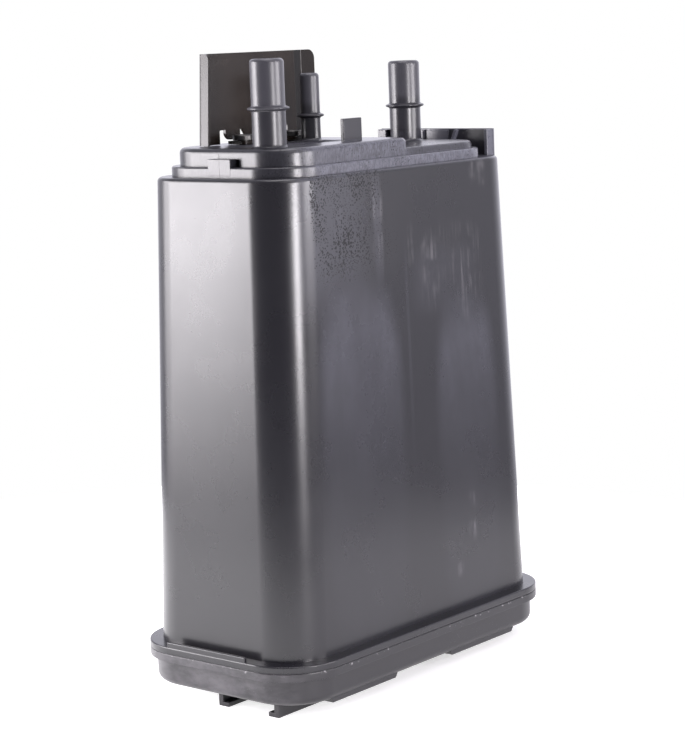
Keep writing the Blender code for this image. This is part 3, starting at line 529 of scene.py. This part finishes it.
CHANNEL_WALL = ((0.0840, -0.0360, 0.2493), (0.0860, 0.0360, 0.2637))
CHANNEL_PANEL = ((0.0834, -0.0088, 0.2570), (0.0850, 0.0056, 0.2629))
CHANNEL_END_Z = (0.2490, 0.2634)
CHANNEL_RIB_Z = (0.2510, 0.2631)
FRONT_RIB_Y = -0.0110
BACK_RIB_Y = 0.0076
RIB_LEAN = 0.45
RIB_UPRIGHT_Z = 0.2560


def channel_web(x, y, heights):
    """An end wall or a rib, 2 mm thick, that runs into the channel's wall."""
    return soft_block((x, y, heights[0]), (0.0850, y + 0.0020, heights[1]), 0.0004)


join(case, soft_block(*CHANNEL_WALL, 0.0004))
join(case, channel_web(0.0795, -0.0360, CHANNEL_END_Z))
join(case, channel_web(0.0810, 0.0340, CHANNEL_END_Z))
front_rib = channel_web(0.0820, FRONT_RIB_Y - 0.0010, CHANNEL_RIB_Z)
for vert in front_rib.verts:
    vert.co.y -= RIB_LEAN * (vert.co.z - RIB_UPRIGHT_Z)
join(case, front_rib)
join(case, channel_web(0.0820, BACK_RIB_Y - 0.0010, CHANNEL_RIB_Z))
join(case, soft_block(*CHANNEL_PANEL, 0.0003))


# Three hose stubs stand on the deck: a large one for the tank's vapour, a small one to the engine, and a
# large one to the air. Each has a bead that keeps its hose on. Under them the case is hollow, with two
# bosses for the bracket's screws.

LARGE_STUB = {"radius": 0.00795, "bead_radius": 0.0098, "height": 0.0407, "bead_at": 0.0180, "bore": 0.0059}
SMALL_STUB = {"radius": 0.00475, "bead_radius": 0.0066, "height": 0.0325, "bead_at": 0.0120, "bore": 0.00315}
STUBS = (
    ((-0.0675, -0.0190), HIGH_DECK_Z, LARGE_STUB),
    ((0.0650, 0.0048), LOW_DECK_Z, LARGE_STUB),
    ((-0.0114, 0.0035), HIGH_DECK_Z, SMALL_STUB),
)
STUB_TIP_ROUND = 0.0018
STUB_FOOT_ROUND = 0.0013
BEAD_ROUND = 0.0006
LOW_HOLLOW = ((-0.0765, -0.0365, 0.2468), (0.0735, 0.0365, 0.2562))
HIGH_HOLLOW = ((-0.0765, -0.0362, 0.2478), (0.0115, 0.0362, 0.2610))
PARTITION = ((0.01475, -0.0440, 0.0243), (0.01725, 0.0440, 0.2490))
PARTITION_TOP = ((0.01475, -0.0372, 0.2450), (0.01725, 0.0372, 0.2572))
SCREWS_X = (-0.0461, -0.0101)
SCREWS_Y = 0.0168
BOSS = (0.0056, 0.2622, 0.2505)
SCREW_HOLE = (0.0033, 0.2645, 0.2518)


def arc(centre, radius, start, end, steps):
    angles = [math.radians(start + (end - start) * i / steps) for i in range(steps + 1)]
    return [(centre[0] + radius * math.cos(a), centre[1] + radius * math.sin(a)) for a in angles]


def stub_outline(deck, sizes):
    """The outer side of a stub from its tip to the deck, with the bead and the fillet at its foot."""
    radius = sizes["radius"]
    tip = deck + sizes["height"]
    bead = deck + sizes["bead_at"]
    foot = radius + STUB_FOOT_ROUND
    outline = [(0.0, tip)] + arc((radius - STUB_TIP_ROUND, tip - STUB_TIP_ROUND), STUB_TIP_ROUND, 90, 0, 7)
    outline += [(radius, bead + 0.0015), (radius + 0.0003, bead + 0.0010)]
    outline += arc((sizes["bead_radius"] - BEAD_ROUND, bead), BEAD_ROUND, 82, -82, 7)
    outline += [(radius + 0.0003, bead - 0.0010), (radius, bead - 0.0015)]
    outline += arc((foot, deck + STUB_FOOT_ROUND), STUB_FOOT_ROUND, 180, 270, 5)
    return outline + [(foot, deck - 0.0010), (0.0, deck - 0.0010)]


def bore_outline(deck, sizes):
    """The hole through a stub, flared at the tip."""
    tip = deck + sizes["height"]
    bore = sizes["bore"]
    outline = [(0.0, tip + 0.0010), (bore + 0.0017, tip + 0.0010)]
    outline += arc((bore + 0.0008, tip - 0.0008), 0.0008, 90, 180, 4)
    return outline + [(bore, deck - 0.0050), (0.0, deck - 0.0050)]


def rod(radius, top, bottom):
    return [(0.0, top), (radius, top), (radius, bottom), (0.0, bottom)]


for spot, deck, sizes in STUBS:
    join(case, turned(stub_outline(deck, sizes), spot))
cut(case, tapered_body(CASE_BASE_Z - 0.0010, SHOULDER_Z - WALL, WALL, 16))
cut(case, rounded_block(*LOW_HOLLOW, 0.0173))
cut(case, round_edges(block(*HIGH_HOLLOW), lambda a, b: is_upright(a, b) and a.x < 0, 0.0170, 12))
join(case, block(*PARTITION))
join(case, block(*PARTITION_TOP))
for spot, deck, sizes in STUBS:
    cut(case, turned(bore_outline(deck, sizes), spot))
for x in SCREWS_X:
    join(case, turned(rod(*BOSS), (x, SCREWS_Y), 32))
    cut(case, turned(rod(*SCREW_HOLE), (x, SCREWS_Y), 32))


# Use has left its marks on the case: a grey film on the front's bulges and on the deck, dried dark spatter
# at the front's upper left, and pale rub marks. On the bulges the film, in two arched patches, is also
# painted sheen, and in the channel at the right end the same grey is pale dust and painted highlights. The
# wide wall at the back is left clean.

CASE_BLACK = (0.0115, 0.0110, 0.0140, 1.0)
FILM_AND_SHEEN_GREY = (0.146, 0.147, 0.180)
RUBBED_GREY = (0.21, 0.20, 0.215)
SPATTER_BLACK = (0.006, 0.006, 0.007)
HANDLED_GREY = (0.048, 0.047, 0.056)
FILM_AND_SHEEN_PATCHES = (
    ((-0.041, 0.110), (0.034, 0.094), 0.50, 0.225),
    ((0.041, 0.098), (0.028, 0.091), 0.55, 0.225),
    ((-0.084, 0.240), (0.066, 0.062), 0.95, 0.20),
    ((-0.004, 0.150), (0.0014, 0.075), 0.90, 0.07),
    ((-0.024, 0.226), (0.004, 0.034), 0.95, 0.12),
    ((0.026, 0.194), (0.032, 0.020), 0.95, 0.06),
)
UPRIGHT_RUBS = (
    ((0.032, 0.200), (0.028, 0.024), 0.44, 0.78),
    ((0.048, 0.194), (0.012, 0.026), 0.45, 0.76),
    ((-0.024, 0.223), (0.006, 0.030), 0.40, 0.75),
    ((0.000, 0.213), (0.003, 0.012), 0.40, 0.72),
)
LEANING_RUBS = (
    ((0.016, 0.204), (0.012, 0.014), 0.38, 0.80),
    ((0.057, 0.2435), (0.008, 0.008), 0.33, 0.60),
    ((0.042, 0.072), (0.005, 0.014), 0.42, 0.72),
    ((0.026, 0.047), (0.008, 0.005), 0.38, 0.68),
)


def largest(tree, first, *others):
    for other in others:
        first = math_node(tree, "MAXIMUM", first, other)
    return first


def patch(tree, where, middle, reach, softness):
    """A soft oval on the wide walls around (x, z): 1 inside and 0 outside."""
    shift = node(tree, "ShaderNodeVectorMath", operation="SUBTRACT")
    shift.inputs[1].default_value = (middle[0], 0.0, middle[1])
    tree.links.new(where, shift.inputs[0])
    scale = node(tree, "ShaderNodeVectorMath", operation="MULTIPLY")
    scale.inputs[1].default_value = (1 / reach[0], 0.0, 1 / reach[1])
    tree.links.new(shift.outputs["Vector"], scale.inputs[0])
    squarer = node(tree, "ShaderNodeVectorMath", operation="MULTIPLY")
    tree.links.new(scale.outputs["Vector"], squarer.inputs[0])
    tree.links.new(scale.outputs["Vector"], squarer.inputs[1])
    length = node(tree, "ShaderNodeVectorMath", operation="LENGTH")
    tree.links.new(squarer.outputs["Vector"], length.inputs[0])
    return ramp(tree, length.outputs["Value"], 1.0, 1.0 - softness)


def wall_film_and_sheen(tree, where, at):
    """The film on the wide wall, partly dust and partly painted sheen in two arched patches: grainy, a little
    cloudy, and thin low down.
    """
    film = 0.0
    for middle, reach, softness, strength in FILM_AND_SHEEN_PATCHES:
        film = math_node(tree, "MULTIPLY_ADD", patch(tree, where, middle, reach, softness), strength, film)
    grain = noise(tree, where, 160.0, (1.0, 1.0, 0.35), Detail=5.0, Roughness=0.65)
    grainy = math_node(tree, "MULTIPLY_ADD", grain, 1.1, 0.45)
    clouds = noise(tree, where, 34.0, (1.0, 1.0, 0.60), 6.0, Detail=4.0, Roughness=0.6)
    cloudy = ramp(tree, clouds, 0.40, 0.64, 0.86, 1.20)
    higher = ramp(tree, at["Z"], 0.085, 0.205, 0.1, 1.0)
    return product(tree, film, grainy, higher, cloudy)


def step_dust(tree, where, at):
    """Streaky dust on the deck's steps, thin round the left corner and at the low deck."""
    streaks = noise(tree, where, 1300.0, (1.0, 1.0, 0.30), Detail=4.0, Roughness=0.7)
    streaked = ramp(tree, streaks, 0.34, 0.68, 0.28, 0.90)
    past_corner = ramp(tree, at["X"], -0.0780, -0.0560, 0.15, 1.0)
    upper_step = ramp(tree, at["Z"], 0.2548, 0.2560)
    at_low_deck = product(tree, upper_step, ramp(tree, at["X"], 0.0050, 0.0160))
    amount = math_node(tree, "MULTIPLY_ADD", upper_step, -0.18, 0.88)
    amount = math_node(tree, "MULTIPLY_ADD", at_low_deck, -0.45, amount)
    return product(tree, streaked, past_corner, amount)


def channel_dust_and_highlights(tree, at):
    """Pale dust and painted highlights in the channel: on the leaning rib, the wall's upper edge, the panel
    and the front end.
    """
    lean = math_node(tree, "MULTIPLY_ADD", at["Z"], RIB_LEAN, at["Y"])
    off_rib = math_node(tree, "SUBTRACT", lean, FRONT_RIB_Y + RIB_LEAN * RIB_UPRIGHT_Z)
    off_rib = math_node(tree, "ABSOLUTE", off_rib)
    return largest(
        tree,
        ramp(tree, off_rib, 0.0016, 0.0010, 0.0, 0.75),
        ramp(tree, at["Z"], 0.2626, 0.2632, 0.0, 0.50),
        ramp(tree, math_node(tree, "ABSOLUTE", at["Y"]), 0.0100, 0.0080, 0.10, 0.46),
        ramp(tree, at["Y"], -0.0330, -0.0345, 0.0, 0.55),
    )


def spatter_spots(tree, where, at, front, off_stubs):
    """Dried spots of two sizes, thick in the front's upper left corner and thinner along the deck's front."""
    deck_front = ramp(tree, at["Y"], -0.0250, -0.0340)
    near_deck = product(tree, ramp(tree, at["Z"], 0.247, 0.252), deck_front, off_stubs, 0.55)
    corner = patch(tree, where, (-0.066, 0.240), (0.072, 0.056), 0.90)
    flat_wall = product(tree, front, ramp(tree, at["X"], -0.0735, -0.0700))
    drifts = noise(tree, where, 110.0, (1.0, 1.0, 0.4), Detail=3.0)
    thick = product(tree, largest(tree, product(tree, corner, flat_wall), near_deck), drifts, 2.0)
    spatter = 0.0
    for scale, spot_size in ((630.0, 0.47), (1150.0, 0.52)):
        distance, draw = cells(tree, where, scale)
        inside = math_node(tree, "SUBTRACT", product(tree, thick, spot_size), distance)
        some = math_node(tree, "GREATER_THAN", draw, 0.40)
        spatter = largest(tree, spatter, product(tree, ramp(tree, inside, 0.0, 0.20), some))
    return spatter


def rub_strokes(tree, where):
    """Short pale strokes, upright or leaning, that break off."""
    upright = noise(tree, where, 520.0, (1.0, 1.0, 0.06), -4.0, Detail=4.0)
    leaning = noise(tree, where, 420.0, (1.0, 1.0, 0.08), 38.0, Detail=4.0)
    broken = ramp(tree, noise(tree, where, 75.0, Detail=2.0), 0.38, 0.62)
    rubs = 0.0
    for strokes, places in ((upright, UPRIGHT_RUBS), (leaning, LEANING_RUBS)):
        for middle, reach, least, most in places:
            here = patch(tree, where, middle, reach, 0.95)
            rubs = largest(tree, rubs, product(tree, here, ramp(tree, strokes, least, most)))
    return product(tree, rubs, broken)


def case_marks_and_sheen_group():
    """The film with its painted sheens and highlights, the spatter and the rub marks of the case, each from 0
    to 1.
    """
    tree = new_group("case marks and sheen", {}, {"FilmAndSheen": "Float", "Spatter": "Float", "Rubs": "Float"})
    link = tree.links.new
    out = node(tree, "NodeGroupOutput").inputs
    where = on_object(tree)
    at = axes(tree, where)
    front = ramp(tree, at["Y"], -0.0400, -0.0446)
    off_stubs = ramp(tree, at["Z"], 0.2650, 0.2630)
    on_steps = product(tree, ramp(tree, at["Z"], 0.2490, 0.2512), off_stubs)
    in_channel = product(tree, ramp(tree, at["X"], 0.0785, 0.0800), on_steps)
    elsewhere = math_node(tree, "SUBTRACT", 1.0, in_channel)
    dust = product(tree, on_steps, step_dust(tree, where, at), elsewhere)
    dust = math_node(tree, "MULTIPLY_ADD", in_channel, channel_dust_and_highlights(tree, at), dust)
    link(largest(tree, product(tree, wall_film_and_sheen(tree, where, at), front), dust), out["FilmAndSheen"])
    link(spatter_spots(tree, where, at, front, off_stubs), out["Spatter"])
    link(product(tree, rub_strokes(tree, where), front), out["Rubs"])
    return tree


case_plastic, tree, shader, surface = moulded_plastic(
    "case plastic", Color=CASE_BLACK, Roughness=0.27, Smears=0.45, Waves=0.35, Specks=0.0
)
marks = node(tree, "ShaderNodeGroup", node_tree=case_marks_and_sheen_group()).outputs
at = axes(tree, on_object(tree))
on_stubs = ramp(tree, at["Z"], 0.2640, 0.2655)
above_beads = ramp(tree, at["Z"], 0.2790, 0.2830)
handled = product(tree, math_node(tree, "MULTIPLY_ADD", above_beads, 0.60, 0.35), on_stubs)
# The grey film also paints sheens on two arched patches of the front and highlights in the channel.
color = blend(tree, marks["FilmAndSheen"], surface["Color"], FILM_AND_SHEEN_GREY)
color = blend(tree, product(tree, marks["Rubs"], 0.26), color, RUBBED_GREY)
color = blend(tree, product(tree, marks["Spatter"], 0.85), color, SPATTER_BLACK)
color = blend(tree, handled, color, HANDLED_GREY)
tree.links.new(color, shader.inputs["Base Color"])
dulled = surface["Roughness"]
for mark, amount in ((marks["Spatter"], 0.65), (marks["Rubs"], 0.15), (on_stubs, 0.02), (above_beads, 0.03)):
    dulled = math_node(tree, "MULTIPLY_ADD", mark, amount, dulled)
tree.links.new(dulled, shader.inputs["Roughness"])
place(case, case_plastic, "canister_case")


# The bracket is a folded sheet of coated steel: an upright plate with a flange along its left edge, and a
# foot that is folded forwards from a leg in the window at its lower edge. Near its right edge the plate
# steps back a little.

SHEET = 0.0016
BEND = 0.0010
BRACKET_Z = 0.2638
PLATE_TOP_Z = 0.3070
PLATE_FRONT_Y = 0.0256
PLATE_LEFT_X = -0.0642
PLATE_RIGHT_X = 0.0200
PLATE_LEAN = 0.0029
SIDE_FLANGE_Y = 0.0203
FOOT_BEND_Y = 0.0215
WINDOW_X = (-0.0528, -0.0034)
WINDOW_TOP_Z = 0.2705
TONGUE_Z = 0.2657
LEG_X = (-0.0330, -0.0060)
FOOT = ((-0.0516, 0.0108, BRACKET_Z), (-0.0046, 0.0226, BRACKET_Z + SHEET))
JOGGLE_SLICES = (0.0038, 0.0052, 0.0067, 0.0082, 0.0096)
JOGGLE_X = 0.0038
JOGGLE_LENGTH = 0.0058
JOGGLE_DEPTH = 0.0007
JOGGLE_SHADE_BLACK = (0.0020, 0.0012, 0.0010)
CREST_HIGHLIGHT_GREY = (0.120, 0.115, 0.110)


def push_on(bm, geom, vec):
    """Extrudes faces and moves what grew."""
    grown = bmesh.ops.extrude_face_region(bm, geom=geom)
    moved = [v for v in grown["geom"] if isinstance(v, bmesh.types.BMVert)]
    bmesh.ops.translate(bm, verts=moved, vec=vec)


def fold(bm, chosen, cent, axis, angle, reach):
    """Bends the sheet on at its end faces and lets it run straight from there."""
    ends = [f for f in bm.faces if all(chosen(v.co) for v in f.verts)]
    turn = bmesh.ops.spin(bm, geom=ends, cent=cent, axis=axis, angle=angle, steps=8)
    last = [f for f in turn["geom_last"] if isinstance(f, bmesh.types.BMFace)]
    push_on(bm, last, reach)


def upper_corner(axis, offset):
    """Chooses the short edge at the plate's top that lies at the offset along the axis."""

    def chosen(a, b):
        along = abs(a[axis] - offset) + abs(b[axis] - offset) < 1e-6
        return along and a.z + b.z > 2 * PLATE_TOP_Z - 1e-4

    return chosen


left = PLATE_LEFT_X + SHEET + BEND
leg_foot = BRACKET_Z + SHEET + BEND
bend_y = PLATE_FRONT_Y - BEND
outline = [(left, BRACKET_Z), (WINDOW_X[0], BRACKET_Z), (WINDOW_X[0], 0.2700), (-0.0523, WINDOW_TOP_Z)]
outline += [(-0.0487, WINDOW_TOP_Z)] + arc((-0.0449, 0.2695), 0.0038, 180, 270, 8)
outline += [(-0.0383, TONGUE_Z), (-0.0383, WINDOW_TOP_Z), (-0.0364, WINDOW_TOP_Z), (LEG_X[0], TONGUE_Z)]
outline += [(LEG_X[0], leg_foot), (LEG_X[1], leg_foot), (LEG_X[1], WINDOW_TOP_Z), (WINDOW_X[1], WINDOW_TOP_Z)]
outline += [(WINDOW_X[1], BRACKET_Z), (PLATE_RIGHT_X, BRACKET_Z)]
outline += [(PLATE_RIGHT_X, PLATE_TOP_Z), (left, PLATE_TOP_Z)]
plate = bmesh.new()
plate.faces.new([plate.verts.new((x, PLATE_FRONT_Y, z)) for x, z in outline])
push_on(plate, plate.faces[:], (0, SHEET, 0))
bmesh.ops.recalc_face_normals(plate, faces=plate.faces)
fold(
    plate,
    lambda co: abs(co.x - left) < 1e-6,
    (left, bend_y, 0),
    (0, 0, 1),
    math.pi / 2,
    (0, SIDE_FLANGE_Y - bend_y, 0),
)
fold(
    plate,
    lambda co: abs(co.z - leg_foot) < 1e-6 and -0.034 < co.x < -0.005,
    (0, bend_y, leg_foot),
    (1, 0, 0),
    -math.pi / 2,
    (0, FOOT_BEND_Y - bend_y, 0),
)
bmesh.ops.remove_doubles(plate, verts=plate.verts, dist=1e-7)
round_edges(plate, upper_corner(0, PLATE_RIGHT_X), 0.0045, 8)
round_edges(plate, upper_corner(1, SIDE_FLANGE_Y), 0.0030, 6)
for x in JOGGLE_SLICES:
    slice_at(plate, 0, x)
for vert in plate.verts:
    if vert.co.x < -0.0600:
        vert.co.x -= PLATE_LEAN * (PLATE_TOP_Z - vert.co.z) / (PLATE_TOP_Z - BRACKET_Z)
    if vert.co.x > 0.0036:
        step = min(max((vert.co.x - JOGGLE_X) / JOGGLE_LENGTH, 0.0), 1.0)
        vert.co.y += JOGGLE_DEPTH * (3 * step * step - 2 * step**3)
bmesh.ops.recalc_face_normals(plate, faces=plate.faces)
bracket = as_object("bracket", plate)
join(bracket, rounded_block(*FOOT, 0.0018, steps=6))


def break_edges(obj, width, segments):
    """Takes the sharpness off the edges of a metal piece."""
    edges = obj.modifiers.new("broken edges", "BEVEL")
    edges.width = width
    edges.segments = segments
    edges.angle_limit = math.radians(50)


coating, tree, shader = new_material("bracket coating")
link = tree.links.new
where = on_object(tree)
at = axes(tree, where)
mottle = noise(tree, where, 60.0, Detail=6.0)
# The joggle band is painted darker as shade where it turns away from the light, and a pale line on its crest
# is a painted highlight.
joggle = product(tree, ramp(tree, at["X"], 0.0030, 0.0042), ramp(tree, at["X"], 0.0094, 0.0088))
crest = product(tree, ramp(tree, at["X"], 0.0093, 0.0096), ramp(tree, at["X"], 0.0101, 0.0098))
color = two_tone(tree, mottle, (0.0095, 0.0062, 0.0045), (0.0165, 0.0115, 0.0088), 0.35, 0.70)
color = blend(tree, joggle, color, JOGGLE_SHADE_BLACK)
link(blend(tree, crest, color, CREST_HIGHLIGHT_GREY), shader.inputs["Base Color"])
sheen = ramp(tree, mottle, 0.0, 1.0, 0.20, 0.30, "LINEAR")
link(math_node(tree, "MULTIPLY_ADD", joggle, 0.25, sheen), shader.inputs["Roughness"])
link(bump(tree, noise(tree, where, 1100.0), 0.00002, 0.5), shader.inputs["Normal"])
shader.inputs["IOR"].default_value = 1.36
break_edges(bracket, 0.0003, 2)
place(bracket, coating, "mounting_bracket")


# Two low screws with a hexagon socket hold the foot down on the deck. They are steel, blackened, with a
# flat-topped round head.

SCREW_HEAD_TOP_Z = 0.2683
SCREW_SEAT_Z = 0.2657
SCREW_END_Z = 0.2520
SCREW_HEAD_RADIUS = 0.0050
SCREW_RADIUS = 0.0029
SOCKET_RADIUS = 0.0023
SOCKET_LENGTH = 0.0030

screw_steel, tree, shader = new_material("blackened steel")
shader.inputs["Metallic"].default_value = 1.0
grain = noise(tree, on_object(tree), 350.0, Detail=4.0)
tree.links.new(two_tone(tree, grain, (0.05, 0.05, 0.05), (0.13, 0.125, 0.12)), shader.inputs["Base Color"])
tree.links.new(ramp(tree, grain, 0.0, 1.0, 0.25, 0.55, "LINEAR"), shader.inputs["Roughness"])
profile = [(0.0, SCREW_HEAD_TOP_Z), (0.0042, SCREW_HEAD_TOP_Z)] + arc((0.0042, 0.2675), 0.0008, 90, 0, 5)
profile += [(SCREW_HEAD_RADIUS, SCREW_SEAT_Z)] + rod(SCREW_RADIUS, SCREW_SEAT_Z, SCREW_END_Z)[1:]
for number, x in enumerate(SCREWS_X, 1):
    name = f"bracket_screw_{number}"
    screw = as_object(name, turned(profile, (x, SCREWS_Y)))
    socket = bmesh.new()
    bmesh.ops.create_cone(
        socket,
        cap_ends=True,
        segments=6,
        radius1=SOCKET_RADIUS,
        radius2=SOCKET_RADIUS,
        depth=SOCKET_LENGTH,
        matrix=Matrix.Translation((x, SCREWS_Y, SCREW_HEAD_TOP_Z)),
    )
    cut(screw, socket)
    break_edges(screw, 0.0001, 1)
    place(screw, screw_steel, name)


# A pale round floor, with the object's shadow only near it, in a white studio that is bright behind and dim
# at the camera's side.

FLOOR_MIDDLE = (-0.060, 0.058, 0.0)
FLOOR_RADIUS = 0.465
DIMMEST_SPOT = (0.100, -0.090, 0.0)
FLOOR_GREY = (0.70, 0.69, 0.70, 1.0)
STUDIO_TINT = (0.94, 0.93, 1.04)

floor_sheet = bmesh.new()
middle = Matrix.Translation(FLOOR_MIDDLE)
bmesh.ops.create_circle(floor_sheet, cap_ends=True, segments=96, radius=FLOOR_RADIUS, matrix=middle)
floor = as_object("floor", floor_sheet)
pale, tree, shader = new_material("pale floor")
tree.nodes.clear()
link = tree.links.new
spot = node(tree, "ShaderNodeVectorMath", operation="SUBTRACT")
spot.inputs[1].default_value = DIMMEST_SPOT
link(on_object(tree), spot.inputs[0])
away = node(tree, "ShaderNodeVectorMath", operation="LENGTH")
link(spot.outputs["Vector"], away.inputs[0])
seen = node(tree, "ShaderNodeLightPath").outputs
seen_or_mirrored = largest(tree, seen["Is Camera Ray"], seen["Is Glossy Ray"], seen["Is Transmission Ray"])
white = node(tree, "ShaderNodeEmission")
white.inputs["Color"].default_value = (1.0, 1.0, 1.0, 1.0)
# The floor's glow, for the camera and in reflections, is painted light: dimmest at a spot in front of the
# object and brighter than white farther off.
glow = ramp(tree, away.outputs["Value"], 0.12, 0.42, 0.50, 2.1)
link(product(tree, glow, seen_or_mirrored), white.inputs["Strength"])
card = node(tree, "ShaderNodeBsdfDiffuse")
card.inputs["Color"].default_value = FLOOR_GREY
both = node(tree, "ShaderNodeAddShader")
link(white.outputs["Emission"], both.inputs[0])
link(card.outputs["BSDF"], both.inputs[1])
link(both.outputs["Shader"], node(tree, "ShaderNodeOutputMaterial").inputs["Surface"])
floor.data.materials.append(pale)

world = bpy.data.worlds.new("studio")
bpy.context.scene.world = world
world.use_nodes = True
tree = world.node_tree
link = tree.links.new
direction = node(tree, "ShaderNodeTexCoord").outputs["Generated"]
across = node(tree, "ShaderNodeVectorMath", operation="DOT_PRODUCT")
across.inputs[1].default_value = (0.90, 0.43, 0.0)
link(direction, across.inputs[0])
level = ramp(tree, across.outputs["Value"], -0.7, 0.9, 0.24, 1.22, "LINEAR")
behind = ramp(tree, across.outputs["Value"], 0.66, 0.97)
brightness = math_node(tree, "MULTIPLY_ADD", behind, 0.5, level)
off_ground = ramp(tree, axes(tree, direction)["Z"], -0.235, -0.110, 0.30, 1.0)
dim = node(tree, "ShaderNodeVectorMath", operation="SCALE")
dim.inputs[0].default_value = STUDIO_TINT
link(product(tree, brightness, off_ground), dim.inputs["Scale"])
seen = node(tree, "ShaderNodeLightPath").outputs["Is Camera Ray"]
link(blend(tree, seen, dim.outputs["Vector"], (1.0, 1.0, 1.0)), tree.nodes["Background"].inputs["Color"])


# The canister is lit by softboxes: a tall one at its narrow side, a strip and a fill at its front, and two
# weak ones from above. The tall ones are made of rows, because their brightness changes with height.

LAMP_TINT = (1.0, 0.965, 1.0)


def softbox(name, at, towards, width, height, radiance):
    """A rectangular lamp whose power follows from the brightness of its face."""
    lamp = bpy.data.lights.new(name, "AREA")
    lamp.shape = "RECTANGLE"
    lamp.size = width
    lamp.size_y = height
    lamp.energy = radiance * math.pi * width * height
    lamp.color = LAMP_TINT
    obj = bpy.data.objects.new(name, lamp)
    bpy.context.scene.collection.objects.link(obj)
    obj.location = at
    obj.rotation_euler = (Vector(towards) - Vector(at)).to_track_quat("-Z", "Y").to_euler()


def fading_box(name, x, y, degrees, width, floor_z, row, levels):
    """An upright softbox made of rows, each with a brightness of its own, from the lowest up."""
    facing = math.radians(degrees)
    for i, level in enumerate(levels):
        z = floor_z + row * (i + 0.5)
        towards = (x + math.cos(facing), y + math.sin(facing), z)
        softbox(f"{name} {i + 1}", (x, y, z), towards, width, row, level)


fading_box("side box", -0.583, 0.498, -43, 0.20, 0.005, 0.06, (6.2, 10.8, 17.5, 24.5, 26.0, 22.0))
fading_box("side box end", -0.406, 0.688, -43, 0.32, 0.005, 0.12, (4.2, 8.5, 9.0))
fading_box("side box top", -0.474, 0.615, -43, 0.52, 0.365, 0.20, (12.0,))
fading_box("front strip", -0.21, -0.83, 80, 0.19, 0.08, 0.09, (32.0, 62.0))
fading_box("fill box", 0.270, -0.705, 111, 0.36, 0.06, 0.08, (1.2, 1.6, 19.0, 19.0))
softbox("high front box", (-0.08, -0.86, 0.92), (0.0, 0.0, 0.20), 1.20, 0.45, 2.2)
softbox("overhead box", (-0.05, -0.05, 1.15), (0.0, 0.0, 0.15), 0.60, 0.60, 4.0)


# The camera stands where the photograph was taken, a little above the deck.

CAMERA_AT = (-0.826946, -0.690714, 0.314126)
CAMERA_RIGHT = (0.6355312, -0.7711552, -0.0376798)
CAMERA_UP = (0.1403588, 0.0674082, 0.9878034)
CAMERA_BACK = (-0.7592098, -0.6330686, 0.1510784)

lens = bpy.data.cameras.new("camera")
lens.lens = 106.9745
lens.clip_start = 0.01
camera = bpy.data.objects.new("camera", lens)
bpy.context.scene.collection.objects.link(camera)
turn = Matrix((CAMERA_RIGHT, CAMERA_UP, CAMERA_BACK)).transposed()
camera.matrix_world = Matrix.Translation(CAMERA_AT) @ turn.to_4x4()
bpy.context.scene.camera = camera
bpy.context.scene.view_settings.view_transform = "Standard"

bpy.context.view_layer.update()
